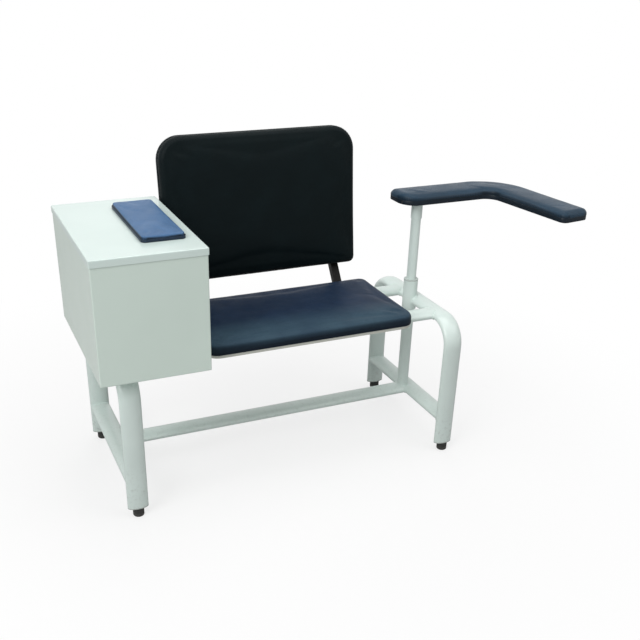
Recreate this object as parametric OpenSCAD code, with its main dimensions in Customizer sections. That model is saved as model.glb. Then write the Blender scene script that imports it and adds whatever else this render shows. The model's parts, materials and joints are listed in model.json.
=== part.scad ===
// Phlebotomy chair: welded tube frame, padded seat and back, storage cabinet and swing arm.
// The sitter faces -Y. The cabinet is at -X and the arm at +X. Millimetres, +Z up, floor at Z 0.

/* [Frame] */
// Distance between the centre planes of the two end frames
frame_span = 1000; // [900:10:1150]
// Distance between the centre lines of the front and rear legs
leg_spread = 470; // [430:10:560]
// Height of the top of the end frames, where the seat board and the cabinet rest
rest_height = 448; // [400:4:520]
// Wider axis of the elliptical frame tube
tube_w = 60; // [54:1:66]
// Narrower axis of the elliptical frame tube
tube_t = 30; // [26:1:34]
// Wall of the frame tube
tube_wall = 1.5; // [1.2:0.1:2.5]
// Bend radius of the end frames, to the centre line of the tube
bend_r = 75; // [60:5:110]
// Height of the centre line of the low rails and the stretcher
rail_height = 116; // [100:2:180]
// Distance of the front cross tube in front of the middle of the frame
front_tube_y = 127; // [105:1:150]
// Distance of the rear cross tube behind the middle of the frame
rear_tube_y = 88; // [75:1:120]

/* [Feet] */
// Diameter of a rubber foot
foot_d = 32; // [26:1:40]
// Height of a rubber foot, floor to leg plug
foot_h = 26; // [18:1:40]
// Diameter of the stem that holds a foot in its plug
stem_d = 10; // [8:1:12]
// Thickness of the leg plug's flange
plug_flange = 4; // [2:1:6]
// Depth of the leg plug inside the tube
plug_depth = 24; // [16:1:40]

/* [Arm post] */
// Distance of the post axis inboard of the right end frame's centre plane
post_inset = 24; // [20:1:30]
// Outer diameter of the guide tube
guide_d = 36; // [35:0.5:40]
// Wall of the guide tube
guide_wall = 2; // [1.5:0.5:2.5]
// Outer diameter of the collar round the guide tube
collar_d = 45; // [42:1:52]
// Height of the collar's top above the end frame
collar_rise = 52; // [40:2:80]
// Length of the collar below the end frame's tube
collar_drop = 13; // [5:1:30]
// Outer diameter of the sliding post
post_d = 30; // [26:0.5:30]
// Wall of the sliding post
post_wall = 2; // [1.5:0.5:3]
// Length of the sliding post inside the guide tube
post_engaged = 200; // [150:5:260]
// Outer diameter of the swivel hub
hub_d = 34; // [34:1:42]
// Height of the swivel hub
hub_h = 50; // [35:1:60]
// Diameter of the clamp knob
knob_d = 34; // [26:1:44]
// Height of the clamp knob
knob_h = 20; // [14:1:28]
// Direction of the clamp screw, turned from +X
clamp_turn = 60; // [30:5:150]

/* [Arm] */
// Height of the underside of the arm board
arm_height = 755; // [700:5:820]
// Length of the arm from the post to its bend
arm_reach = 191; // [150:1:240]
// Length of the arm pad behind the post
arm_tail = 73; // [45:1:80]
// Bend radius of the arm pad's centre line
arm_bend_r = 95; // [80:1:120]
// Angle that the arm turns through at its bend
arm_turn = 83; // [70:1:95]
// Length of the arm past its bend
arm_fore = 270; // [180:1:320]
// Width of the arm pad
arm_pad_w = 112; // [90:1:130]
// Width of the arm pad at its free end
arm_tip_w = 100; // [60:1:110]
// Thickness of the arm pad at its edge
arm_pad_t = 19; // [14:1:35]
// Thickness of the arm board
arm_board_t = 10; // [6:1:15]
// Width of the steel arm plate
arm_plate_w = 40; // [30:1:60]
// Thickness of the steel arm plate
arm_plate_t = 5; // [3:1:8]

/* [Seat] */
// Width of the seat
seat_w = 644; // [560:2:660]
// Depth of the seat
seat_d = 348; // [300:2:400]
// Distance of the seat's front edge in front of the middle of the frame
seat_front = 240; // [215:1:260]
// Distance of the seat's centre to the right of the middle of the frame
seat_shift = 40; // [20:1:60]
// Thickness of the seat board
seat_board_t = 12; // [9:1:18]
// Thickness of the seat cushion at its edge
seat_pad_t = 28; // [20:1:60]
// Radius of the seat's front corners
seat_corner_r = 40; // [20:1:70]
// Radius of the seat's rear corners
seat_rear_r = 26; // [16:1:70]

/* [Back] */
// Width of the back
back_w = 620; // [520:4:640]
// Height of the back
back_h = 426; // [360:2:480]
// Distance of the back's centre to the right of the middle of the frame
back_shift = 29; // [21:1:40]
// Tilt of the back from upright
back_tilt = 6.8; // [3:0.1:12]
// Thickness of the back board
back_board_t = 12; // [9:1:18]
// Thickness of the back cushion at its edge
back_pad_t = 31; // [20:1:60]
// Radius of the back's upper corners
back_top_r = 70; // [30:1:90]
// Radius of the back's lower corners
back_low_r = 20; // [12:1:60]
// Width of the square tube of a back bracket
bracket_w = 25; // [20:1:30]
// Wall of a back bracket
bracket_wall = 2; // [1.5:0.5:3]
// Distance between the two back brackets' centre lines
bracket_span = 504; // [440:2:540]
// Angle at which the brackets lean between the seat and the back
bracket_lean = 35; // [25:1:40]
// Bend radius of the brackets, to the centre line
bracket_bend_r = 35; // [30:1:50]
// Length of a bracket behind the rear cross tube
bracket_foot = 44; // [40:1:60]
// Length of a bracket's leaning run
bracket_run = 60; // [45:1:75]
// Length of a bracket behind the back board
bracket_top = 266; // [200:2:320]

/* [Cabinet] */
// Width of the cabinet
cabinet_w = 299; // [260:1:340]
// Depth of the cabinet
cabinet_d = 506; // [460:2:540]
// Height of the cabinet with its lid
cabinet_h = 336; // [280:2:400]
// Distance of the cabinet's inner side from the left end frame's centre plane
cabinet_inset = 213; // [180:1:215]
// Distance of the cabinet's front in front of the front legs' centre line
cabinet_overhang = 64; // [40:1:90]
// Thickness of the cabinet's sheet metal
sheet_t = 1.2; // [0.8:0.1:2]
// Radius of the cabinet's folded edges
fold_r = 3; // [2:0.5:5]
// Depth of the lid's turned-down lip
lid_lip = 19; // [14:1:30]
// Width of the stiffening flange round the cabinet's opening
flange_w = 15; // [10:1:25]
// Width of the arm pad on the lid
lid_pad_w = 118; // [90:1:150]
// Length of the arm pad on the lid
lid_pad_l = 340; // [260:2:420]
// Thickness of the arm pad on the lid at its edge
lid_pad_t = 11; // [8:1:30]
// Thickness of the board under the lid's arm pad
lid_board_t = 5; // [3:1:9]
// Distance of the lid's arm pad from the lid's inner side
lid_pad_side = 30; // [15:1:60]
// Distance of the lid's arm pad from the lid's front
lid_pad_front = 86; // [20:1:110]

/* [Fasteners] */
// Diameter of the seat, back and cabinet screws
screw_d = 6; // [5:1:8]
// Diameter of the arm and lid pad screws
small_screw_d = 5; // [4:0.5:5]
// Diameter of the bracket bolts and the clamp stud
bolt_d = 8; // [6:1:10]
// Diameter of the pivot bolt
pivot_d = 10; // [8:1:12]
// Diameter of the hinge pin
pin_d = 3; // [2:0.5:4]
// Diameter of the hinge rivets
rivet_d = 3.2; // [2.4:0.2:4]

/* [Hidden] */

$fn = 48;
// Sides of the polygons that stand for the elliptical tube, outside and in its bore
tube_sides = 40;
bore_sides = 20;
// How far a cut runs past the surface that it cuts
over = 2;
// Radial gap of a running fit and of a fixed fit, and the gap between faces that slide
run_gap = 0.06;
fit_gap = 0.05;
face_gap = 0.3;

// Places in the frame
half_span = frame_span / 2;
leg_y = leg_spread / 2;
run_z = rest_height - tube_t / 2;
leg_end = foot_h + plug_flange;
low_top_z = rail_height + tube_t / 2;
post_x = half_span - post_inset;
collar_top = rest_height + collar_rise;
collar_low = rest_height - tube_t - collar_drop;
plate_z = arm_height - arm_plate_t;
post_top = plate_z - face_gap;
post_low = collar_top - post_engaged;
seat_y = seat_d / 2 - seat_front;
seat_pad_z = rest_height + seat_board_t;

// Foot and plug details
foot_round = 5;
plug_round = 2.5;
stem_len = plug_flange + plug_depth * 0.7;

// Post details
bush_flange_t = 4;
bush_len = 48;
glide_len = 26;
top_plug_len = 36;
boss_d = 20;
boss_len = 14;
clamp_z = rest_height + collar_rise * 0.58;
stud_reach = 12;
knob_flutes = 6;
flute_d = 8;
knob_face = 2.5;
boss_cope = 2;

// Arm details
// Corner radii of the pad: rear and front corner behind the post, both corners at the free end
arm_tail_r = 18;
arm_tail_front_r = arm_pad_w * 0.49;
arm_tip_r = 20;
arm_crown = 4;
board_inset = 3;
plate_stop = 60;
arm_eye_share = 1.25;
arm_screw_len = arm_plate_t + arm_board_t * 0.8;
pivot_head_d = 17;
pivot_head_h = 6;
washer_gap = 0.3;
arm_stations = 9;
arm_bend_stations = 9;
arm_screw_shares = [0.16, 0.3, 0.62, 0.86];

// Cushion details
seat_crown = 7;
back_crown = 9;
lid_crown = 2.5;
cushion_pinch = 3;
cushion_round = 12;
// Inset and height of the rings up a cushion's side, as shares of its rounding and thickness
side_shares = [[0.34, 0], [0.08, 0.12], [0, 0.38], [0.06, 0.62], [0.24, 0.82], [0.56, 0.95], [1, 1]];
// Inset of the rings over a cushion's top, as shares of half its narrower side
top_shares = [0.14, 0.28, 0.46, 0.68, 0.92];

// Screw details
head_share = 2;
head_h_share = 0.6;
nut_share = 1.7;
nut_h_share = 0.8;
rear_screw_step = 16;
seat_screw_inset = 104;
hole_gap = 0.2;
board_bite_share = 0.7;

// Back bracket path, in the Y-Z plane
bracket_y = rear_tube_y + tube_w / 2 + bracket_w / 2;
bracket_z = rest_height - tube_t - 14;
bracket_low_angle = bracket_lean;
bracket_back_angle = bracket_lean - back_tilt;
bend1_y = bracket_bend_r * (1 - cos(bracket_low_angle));
bend1_z = bracket_bend_r * sin(bracket_low_angle);
bend2_y = bracket_bend_r * (1 - cos(bracket_back_angle));
bend2_z = bracket_bend_r * sin(bracket_back_angle);
back_y = bracket_y + bend1_y + bracket_run * sin(bracket_lean)
    + bend2_z * sin(bracket_lean) - bend2_y * cos(bracket_lean);
back_z = bracket_z + bracket_foot + bend1_z + bracket_run * cos(bracket_lean)
    + bend2_z * cos(bracket_lean) + bend2_y * sin(bracket_lean);
back_drop = 6;
bracket_corner = 3;
bracket_bend_steps = 6;
back_screw_shares = [0.2, 0.82];
cap_t = 3;

// Cabinet places
cab_x1 = -half_span + cabinet_inset;
cab_x0 = cab_x1 - cabinet_w;
cab_y0 = -leg_y - cabinet_overhang;
cab_y1 = cab_y0 + cabinet_d;
cab_z0 = rest_height;
cab_z1 = cab_z0 + cabinet_h;
lid_gap = 0.8;
lid_step = sheet_t + lid_gap;
bumper_t = 3;
bumper_d = 10;
body_top = cab_z1 - sheet_t - bumper_t;
lip_z = cab_z1 - lid_lip;
seam_gap = 1;
rear_top = lip_z - seam_gap;
rear_step = 6;
cab_bolt_shares = [0.5, 0.83];

// Hinge details
knuckle_d = 6;
knuckles = 9;
leaf_t = 1;
leaf_h = 15;
hinge_len = cabinet_w - 36;
hinge_x0 = (cab_x0 + cab_x1 - hinge_len) / 2;
hinge_y = cab_y1 + knuckle_d / 2;
hinge_z = lip_z - seam_gap / 2;
knuckle_gap = 0.4;
rivet_count = 5;
rivet_head_d = 6;
rivet_head_h = 1;

// Lid pad place
lid_pad_x = cab_x1 - lid_pad_side - lid_pad_w / 2;
lid_pad_y = cab_y0 + lid_pad_front + lid_pad_l / 2;
lid_pad_r = 14;

module place() {
    translate([-origin_x, -origin_y, 0]) children();
}

// Elliptical tube

function ellipse_points(inset, sides) = [
    for (i = [0 : sides - 1])
        let (a = 360 * i / sides)
        [(tube_w / 2 - inset) * cos(a), (tube_t / 2 - inset) * sin(a)]
];

function sides_for(inset) = inset > 0 ? bore_sides : tube_sides;

module tube_section(inset) {
    polygon(ellipse_points(inset, sides_for(inset)));
}

// A straight tube along X, Y or Z, centred on the origin, its wider axis level
module tube_along_x(len, inset) {
    rotate([90, 0, 90]) linear_extrude(len, center = true) tube_section(inset);
}

module tube_along_y(len, inset) {
    rotate([90, 0, 0]) linear_extrude(len, center = true) tube_section(inset);
}

module leg_solid(x, y, inset, low) {
    translate([x, y, low]) linear_extrude(run_z - bend_r - low) tube_section(inset);
}

module bend_solid(x, inset) {
    points = [for (p = ellipse_points(inset, sides_for(inset))) [bend_r + p[1], p[0]]];
    translate([x, bend_r - leg_y, run_z - bend_r])
        rotate([90, 0, -90])
            rotate_extrude(angle = 90, $fn = 64) polygon(points);
}

module end_frame_solid(x, inset, low) {
    for (m = [0, 1]) mirror([0, m, 0]) {
        leg_solid(x, -leg_y, inset, low);
        bend_solid(x, inset);
    }
    translate([x, 0, run_z]) tube_along_y(2 * (leg_y - bend_r), inset);
}

module top_run_solid(x) {
    translate([x, 0, run_z]) tube_along_y(2 * (leg_y - bend_r), 0);
}

module left_end_frame() {
    color("#d3dbd4") difference() {
        end_frame_solid(-half_span, 0, leg_end);
        end_frame_solid(-half_span, tube_wall, leg_end - over);
    }
}

module right_end_frame() {
    color("#d3dbd4") difference() {
        end_frame_solid(half_span, 0, leg_end);
        end_frame_solid(half_span, tube_wall, leg_end - over);
        translate([post_x, 0, collar_low - over])
            cylinder(d = collar_d + 2 * fit_gap, h = collar_top - collar_low + 2 * over);
    }
}

module rail_solid(x, inset) {
    translate([x, 0, rail_height]) tube_along_y(leg_spread + over * (inset > 0 ? 1 : 0), inset);
}

module side_rail(x) {
    color("#cbd4cd") difference() {
        rail_solid(x, 0);
        rail_solid(x, tube_wall);
        for (y = [-leg_y, leg_y]) leg_solid(x, y, 0, leg_end);
    }
}

module left_side_rail() {
    side_rail(-half_span);
}

module right_side_rail() {
    side_rail(half_span);
}

module stretcher_solid(inset) {
    translate([0, 0, rail_height]) tube_along_x(frame_span + over * (inset > 0 ? 1 : 0), inset);
}

module stretcher() {
    color("#cbd4cd") difference() {
        stretcher_solid(0);
        stretcher_solid(tube_wall);
        for (x = [-half_span, half_span]) rail_solid(x, 0);
    }
}

// A tube between the end frames at height run_z, with upright holes at the given points
module cross_tube(y, holes) {
    color("#d0d8d1") difference() {
        translate([0, y, run_z]) tube_along_x(frame_span, 0);
        translate([0, y, run_z]) tube_along_x(frame_span + over, tube_wall);
        for (x = [-half_span, half_span]) top_run_solid(x);
        for (p = holes)
            translate([p[0], p[1], run_z - tube_t])
                cylinder(d = screw_d + 2 * hole_gap, h = 2 * tube_t);
        children();
    }
}

// Places of the screws that hold the seat and the cabinet on the cross tubes
seat_screw_xs = [for (s = [-1, 1]) seat_shift + s * (seat_w / 2 - seat_screw_inset)];
cab_bolt_xs = [for (s = cab_bolt_shares) cab_x0 + s * cabinet_w];
seat_screw_rear_y = rear_tube_y - rear_screw_step;
seat_points = [for (x = seat_screw_xs) for (y = [-front_tube_y, seat_screw_rear_y]) [x, y]];
cab_points = [for (x = cab_bolt_xs) for (y = [-front_tube_y, rear_tube_y]) [x, y]];
bracket_xs = [for (s = [-1, 1]) back_shift + s * bracket_span / 2];
bracket_bolt_z = run_z;

module front_cross_tube() {
    cross_tube(-front_tube_y, [for (x = concat(seat_screw_xs, cab_bolt_xs)) [x, -front_tube_y]]);
}

module rear_cross_tube() {
    cross_tube(rear_tube_y, concat(
        [for (x = seat_screw_xs) [x, seat_screw_rear_y]],
        [for (x = cab_bolt_xs) [x, rear_tube_y]]))
        for (x = bracket_xs)
            translate([x, rear_tube_y, bracket_bolt_z])
                rotate([90, 0, 0]) cylinder(d = bolt_d + 2 * hole_gap, h = 2 * tube_w, center = true);
}

// Feet

module leg_plug(x, y) {
    color("#c4cbc6") translate([x, y, 0]) difference() {
        union() {
            translate([0, 0, foot_h + plug_round / 2])
                linear_extrude(plug_flange - plug_round / 2) tube_section(0);
            translate([0, 0, foot_h]) linear_extrude(plug_round / 2) tube_section(plug_round);
            translate([0, 0, leg_end])
                linear_extrude(plug_depth) tube_section(tube_wall + fit_gap * 4);
        }
        translate([0, 0, foot_h - over])
            cylinder(d = stem_d + 2 * fit_gap, h = stem_len + 2 * over);
    }
}

module foot(x, y) {
    color("#1c1c1d") translate([x, y, 0]) {
        rotate_extrude() {
            square([foot_d / 2 - foot_round, foot_h]);
            translate([0, foot_round]) square([foot_d / 2, foot_h - foot_round]);
            translate([foot_d / 2 - foot_round, foot_round]) intersection() {
                circle(foot_round);
                translate([0, -foot_round]) square(foot_round);
            }
        }
        translate([0, 0, foot_h]) cylinder(d = stem_d, h = stem_len);
    }
}

module plug_front_left() { leg_plug(-half_span, -leg_y); }
module plug_front_right() { leg_plug(half_span, -leg_y); }
module plug_rear_left() { leg_plug(-half_span, leg_y); }
module plug_rear_right() { leg_plug(half_span, leg_y); }
module foot_front_left() { foot(-half_span, -leg_y); }
module foot_front_right() { foot(half_span, -leg_y); }
module foot_rear_left() { foot(-half_span, leg_y); }
module foot_rear_right() { foot(half_span, leg_y); }

// Arm post and clamp

guide_bore_d = guide_d - 2 * guide_wall;

// Runs along the clamp screw, outwards from the post's axis
module along_clamp() {
    translate([post_x, 0, clamp_z]) rotate([0, 0, clamp_turn]) rotate([0, 90, 0]) children();
}

module clamp_hole() {
    along_clamp() cylinder(d = bolt_d + 2 * hole_gap, h = collar_d);
}

module post_guide_tube() {
    color("#c9d1cb") difference() {
        translate([post_x, 0, rail_height]) cylinder(d = guide_d, h = collar_top - rail_height);
        translate([post_x, 0, rail_height - over])
            cylinder(d = guide_bore_d, h = collar_top - rail_height + 2 * over);
        rail_solid(half_span, 0);
        stretcher_solid(0);
        clamp_hole();
    }
}

module post_collar() {
    color("#c3ccc6") difference() {
        translate([post_x, 0, collar_low]) cylinder(d = collar_d, h = collar_top - collar_low);
        translate([post_x, 0, collar_low - over])
            cylinder(d = guide_d + 2 * fit_gap, h = collar_top - collar_low + 2 * over);
        clamp_hole();
    }
}

module clamp_boss() {
    color("#b9c2bc") difference() {
        along_clamp() translate([0, 0, collar_d / 2 - boss_cope])
            cylinder(d = boss_d, h = boss_len + boss_cope);
        translate([post_x, 0, clamp_z - boss_d]) cylinder(d = collar_d, h = 2 * boss_d);
        along_clamp() cylinder(d = bolt_d + 2 * run_gap, h = collar_d + boss_len);
    }
}

module guide_bush() {
    color("#c4cbc6") difference() {
        union() {
            translate([post_x, 0, collar_top - bush_len])
                cylinder(d = guide_bore_d - 2 * fit_gap, h = bush_len);
            translate([post_x, 0, collar_top]) cylinder(d = collar_d, h = bush_flange_t);
        }
        translate([post_x, 0, collar_top - bush_len - over])
            cylinder(d = post_d + 2 * run_gap, h = bush_len + bush_flange_t + 2 * over);
        clamp_hole();
    }
}

module clamp_stud() {
    color("#8f9596") along_clamp() translate([0, 0, post_d / 2 + face_gap])
        cylinder(d = bolt_d, h = collar_d / 2 + boss_len + stud_reach - post_d / 2 - face_gap);
}

module clamp_knob() {
    knob_low = collar_d / 2 + boss_len + face_gap;
    color("#202123") along_clamp() translate([0, 0, knob_low]) difference() {
        union() {
            cylinder(d = knob_d, h = knob_h - knob_face);
            cylinder(d = knob_d - 2 * knob_face, h = knob_h);
        }
        for (i = [0 : knob_flutes - 1]) rotate([0, 0, 360 * i / knob_flutes])
            translate([knob_d / 2 + flute_d / 5, 0, -over])
                cylinder(d = flute_d, h = knob_h + 2 * over, $fn = 24);
        translate([0, 0, -over]) cylinder(d = bolt_d, h = stud_reach - face_gap + over);
    }
}

module arm_post() {
    color("#d6ddd7") difference() {
        translate([post_x, 0, post_low]) cylinder(d = post_d, h = post_top - post_low);
        translate([post_x, 0, post_low - over])
            cylinder(d = post_d - 2 * post_wall, h = post_top - post_low + 2 * over);
    }
}

post_bore_d = post_d - 2 * post_wall;

module post_glide() {
    color("#c4cbc6") {
        translate([post_x, 0, post_low]) cylinder(d = post_bore_d - 2 * fit_gap, h = glide_len);
        translate([post_x, 0, post_low - glide_len / 4])
            cylinder(d = guide_bore_d - 2 * run_gap, h = glide_len / 4);
    }
}

module post_top_plug() {
    color("#9aa09f") difference() {
        translate([post_x, 0, post_top - top_plug_len])
            cylinder(d = post_bore_d - 2 * fit_gap, h = top_plug_len);
        translate([post_x, 0, post_top - top_plug_len - over])
            cylinder(d = pivot_d + 2 * fit_gap, h = top_plug_len + 2 * over);
    }
}

module pivot_bolt() {
    head_z = arm_height + washer_gap;
    color("#8f9596") {
        translate([post_x, 0, post_top - top_plug_len * 0.8])
            cylinder(d = pivot_d, h = head_z - post_top + top_plug_len * 0.8);
        translate([post_x, 0, head_z]) cylinder(d = pivot_head_d, h = pivot_head_h);
    }
}

module swivel_hub() {
    color("#c6cec8") difference() {
        translate([post_x, 0, plate_z - hub_h]) cylinder(d = hub_d, h = hub_h);
        translate([post_x, 0, plate_z - hub_h - over])
            cylinder(d = post_d + 2 * run_gap, h = hub_h + 2 * over);
    }
}

// Arm: its centre line runs outwards from the post, bends forwards and ends past the sitter's knees

arm_arc_len = arm_bend_r * arm_turn * PI / 180;
arm_len = arm_tail + arm_reach + arm_arc_len + arm_fore;
arm_x0 = post_x - arm_tail;
arm_bend_x = post_x + arm_reach;
arm_straight = arm_tail + arm_reach;

// Point and heading of the centre line at distance s from its start
function arm_point(s) =
    s <= arm_straight ? [arm_x0 + s, 0, 0]
    : s <= arm_straight + arm_arc_len
        ? let (a = (s - arm_straight) / arm_bend_r * 180 / PI)
            [arm_bend_x + arm_bend_r * sin(a), -arm_bend_r * (1 - cos(a)), -a]
    : let (l = s - arm_straight - arm_arc_len)
        [arm_bend_x + arm_bend_r * sin(arm_turn) + l * cos(arm_turn),
         -arm_bend_r * (1 - cos(arm_turn)) - l * sin(arm_turn), -arm_turn];

// Distance from the centre line to the pad's edge at distance s, with round corners at both ends
function arm_edge(s, side) =
    let (t = max(0, (s - arm_straight) / (arm_len - arm_straight)),
         full = (arm_pad_w * (1 - t) + arm_tip_w * t) / 2,
         at_tail = s < arm_len / 2,
         r = at_tail ? (side > 0 ? arm_tail_r : arm_tail_front_r) : arm_tip_r,
         e = at_tail ? s : arm_len - s)
    e >= r ? full : full - r + sqrt(max(0, r * r - (r - e) * (r - e)));

function arm_side(s, inset, side) =
    let (p = arm_point(min(max(s, inset), arm_len - inset)), h = arm_edge(s, side) - inset)
    [p[0] - side * h * sin(p[2]), p[1] + side * h * cos(p[2])];

// Stations along the arm, closer together at the round ends and in the bend
tail_shares = [0, 0.03, 0.1, 0.2, 0.32, 0.5, 0.74, 1];
tip_shares = [1, 0.64, 0.36, 0.16, 0.04, 0];
stations = concat(
    [for (k = tail_shares) arm_tail_front_r * k],
    [for (i = [1 : arm_stations - 1])
        arm_tail_front_r + (arm_straight - arm_tail_front_r) * i / arm_stations],
    [for (i = [0 : arm_bend_stations]) arm_straight + arm_arc_len * i / arm_bend_stations],
    [for (i = [1 : arm_stations - 1])
        arm_straight + arm_arc_len + (arm_fore - arm_tip_r) * i / arm_stations],
    [for (k = tip_shares) arm_len - arm_tip_r * k]);

function arm_outline(inset) = concat(
    [for (s = stations) arm_side(s, inset, 1)],
    [for (i = [len(stations) - 1 : -1 : 0]) arm_side(stations[i], inset, -1)]);

// Screw places along the arm plate
plate_s0 = arm_tail;
plate_s1 = arm_len - plate_stop;
arm_screw_points = [
    for (k = arm_screw_shares) let (p = arm_point(plate_s0 + k * (plate_s1 - plate_s0))) [p[0], p[1]]
];

function plate_side(s, side) =
    let (p = arm_point(s))
    [p[0] - side * arm_plate_w / 2 * sin(p[2]), p[1] + side * arm_plate_w / 2 * cos(p[2])];

module arm_plate_outline() {
    plate_stations = concat([plate_s0], [for (s = stations) if (s > plate_s0 && s < plate_s1) s],
                            [plate_s1]);
    end = arm_point(plate_s1);
    polygon(concat(
        [for (s = plate_stations) plate_side(s, 1)],
        [for (a = [75 : -15 : -75])
            [end[0] + arm_plate_w / 2 * cos(end[2] + a), end[1] + arm_plate_w / 2 * sin(end[2] + a)]],
        [for (i = [len(plate_stations) - 1 : -1 : 0]) plate_side(plate_stations[i], -1)]));
}

module arm_plate() {
    color("#c9d1cb") translate([0, 0, plate_z]) difference() {
        union() {
            linear_extrude(arm_plate_t) arm_plate_outline();
            translate([post_x, 0, 0]) cylinder(d = arm_plate_w * arm_eye_share, h = arm_plate_t);
        }
        translate([post_x, 0, -over]) cylinder(d = pivot_d + 2 * run_gap, h = arm_plate_t + 2 * over);
        for (p = arm_screw_points) translate([p[0], p[1], -over])
            cylinder(d = small_screw_d + 2 * hole_gap, h = arm_plate_t + 2 * over);
    }
}

module arm_board() {
    color("#24262b") translate([0, 0, arm_height]) difference() {
        linear_extrude(arm_board_t) polygon(arm_outline(board_inset));
        translate([post_x, 0, -over])
            cylinder(d = pivot_head_d + 2 * over, h = arm_board_t + 2 * over);
        for (p = arm_screw_points) translate([p[0], p[1], -over])
            cylinder(d = small_screw_d + 2 * fit_gap, h = arm_screw_len - arm_plate_t + 2 * over);
    }
}

// Cross-section of the arm pad: share of the half width, share of the height
pad_profile_shares = [
    [-0.97, 0], [-1, 0.2], [-0.995, 0.5], [-0.965, 0.76], [-0.9, 0.93], [-0.8, 1], [-0.55, 1],
    [-0.28, 1], [0, 1], [0.28, 1], [0.55, 1], [0.8, 1], [0.9, 0.93], [0.965, 0.76],
    [0.995, 0.5], [1, 0.2], [0.97, 0]
];
arm_end_ease = 16;
arm_end_fall = 0.45;

function pad_ring(s) =
    let (p = arm_point(s), e = min(s, arm_len - s) / arm_end_ease, rise = min(1, e * (2 - min(e, 1))))
    [for (q = pad_profile_shares)
        let (o = q[0] * arm_edge(s, q[0]),
             crown = arm_crown * max(0, 1 - pow(q[0], 4) * 1.6))
        [p[0] - o * sin(p[2]), p[1] + o * cos(p[2]),
         arm_pad_t * q[1] * (1 - arm_end_fall + arm_end_fall * rise) + crown * rise]];

// Faces of a closed skin over rings that have the same number of points, capped at both ends
function skin_faces(rings, n) = concat(
    [for (i = [0 : rings - 2]) for (j = [0 : n - 1])
        let (a = i * n + j, b = i * n + (j + 1) % n) each [[a, b, b + n], [a, b + n, a + n]]],
    [for (j = [1 : n - 2]) [0, j + 1, j]],
    [for (j = [1 : n - 2]) let (k = (rings - 1) * n) [k, k + j, k + j + 1]]);

module arm_pad() {
    rings = [for (s = stations) pad_ring(s)];
    color("#23272f") translate([0, 0, arm_height + arm_board_t + face_gap])
        polyhedron([for (r = rings) each r], skin_faces(len(rings), len(pad_profile_shares)));
}

module screw(d, len) {
    translate([0, 0, -d * head_h_share]) cylinder(d = d * head_share, h = d * head_h_share, $fn = 24);
    cylinder(d = d, h = len, $fn = 24);
}

module arm_screws() {
    color("#9a9fa0") for (p = arm_screw_points)
        translate([p[0], p[1], plate_z]) screw(small_screw_d, arm_screw_len);
}

// Cushions and boards

// Ring round a rectangle with corner radii r0 at -Y and r1 at +Y, its sides drawn in between corners
corner_steps = 7;
long_steps = 10;
short_steps = 6;
function ring(a, b, r0, r1, pinch) =
    let (corners = [[a - r1, b - r1, r1, 0], [r1 - a, b - r1, r1, 90],
                    [r0 - a, r0 - b, r0, 180], [a - r0, r0 - b, r0, 270]])
    [for (k = [0 : 3])
        let (c = corners[k], e = corners[(k + 1) % 4], steps = k % 2 == 0 ? long_steps : short_steps,
             p0 = [c[0] + c[2] * cos(c[3] + 90), c[1] + c[2] * sin(c[3] + 90)],
             p1 = [e[0] + e[2] * cos(e[3]), e[1] + e[2] * sin(e[3])],
             inward = [-cos(c[3] + 90), -sin(c[3] + 90)])
        each concat(
            [for (i = [0 : corner_steps]) let (t = c[3] + 90 * i / corner_steps)
                [c[0] + c[2] * cos(t), c[1] + c[2] * sin(t)]],
            [for (i = [1 : steps - 1]) let (u = i / steps, q = pinch * sin(180 * u))
                p0 + (p1 - p0) * u + inward * q])];

// Closed cushion form of size w by d, t thick at its edge, lying on Z 0 with its crown upwards
module cushion_form(w, d, t, r0, r1, crown, pinch, round) {
    half = min(w, d) / 2;
    side_rings = [for (s = side_shares)
        let (i = round * s[0])
        [for (p = ring(w / 2 - i, d / 2 - i, max(r0 - i, round / 4), max(r1 - i, round / 4), pinch))
            [p[0], p[1], t * s[1]]]];
    top_rings = [for (s = top_shares)
        let (i = round + (half - round) * s)
        [for (p = ring(w / 2 - i, d / 2 - i, max(min(r0, half) - i, (half - i) / 2),
                       max(min(r1, half) - i, (half - i) / 2), pinch * (1 - s)))
            let (u = 2 * p[0] / w, v = 2 * p[1] / d)
            [p[0], p[1], t + crown * (1 - pow(u, 4)) * (1 - pow(v, 4))]]];
    rings = concat(side_rings, top_rings);
    n = len(rings[0]);
    k = len(rings);
    points = concat([for (r = rings) each r], [[0, 0, 0], [0, 0, t + crown]]);
    walls = [for (i = [0 : k - 2]) for (j = [0 : n - 1])
        let (a = i * n + j, b = i * n + (j + 1) % n) each [[a, b + n, b], [a, a + n, b + n]]];
    caps = [for (j = [0 : n - 1]) each [
        [k * n, j, (j + 1) % n],
        [k * n + 1, (k - 1) * n + (j + 1) % n, (k - 1) * n + j]]];
    polyhedron(points, concat(walls, caps));
}

// Flat board of size w by d with true round corners, r0 at -Y and r1 at +Y
module board_outline(w, d, r0, r1) {
    for (s = [-1, 1]) {
        translate([s * (w / 2 - r0), r0 - d / 2]) circle(r0);
        translate([s * (w / 2 - r1), d / 2 - r1]) circle(r1);
    }
    translate([-w / 2, r0 - d / 2]) square([w, d - r0 - r1]);
    translate([r0 - w / 2, -d / 2]) square([w - 2 * r0, d / 2]);
    translate([r1 - w / 2, 0]) square([w - 2 * r1, d / 2]);
}

module seat_board() {
    color("#b9bdb9") difference() {
        translate([seat_shift, seat_y, rest_height]) linear_extrude(seat_board_t)
            board_outline(seat_w - 2 * board_inset, seat_d - 2 * board_inset,
                          seat_corner_r, seat_rear_r);
        for (p = seat_points) translate([p[0], p[1], rest_height - over])
            cylinder(d = screw_d + 2 * fit_gap, h = over + seat_board_t * board_bite_share);
    }
}

module seat_cushion() {
    color("#232a3a") translate([seat_shift, seat_y, seat_pad_z + face_gap])
        cushion_form(seat_w, seat_d, seat_pad_t, seat_corner_r, seat_rear_r, seat_crown,
                     cushion_pinch, cushion_round);
}

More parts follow.
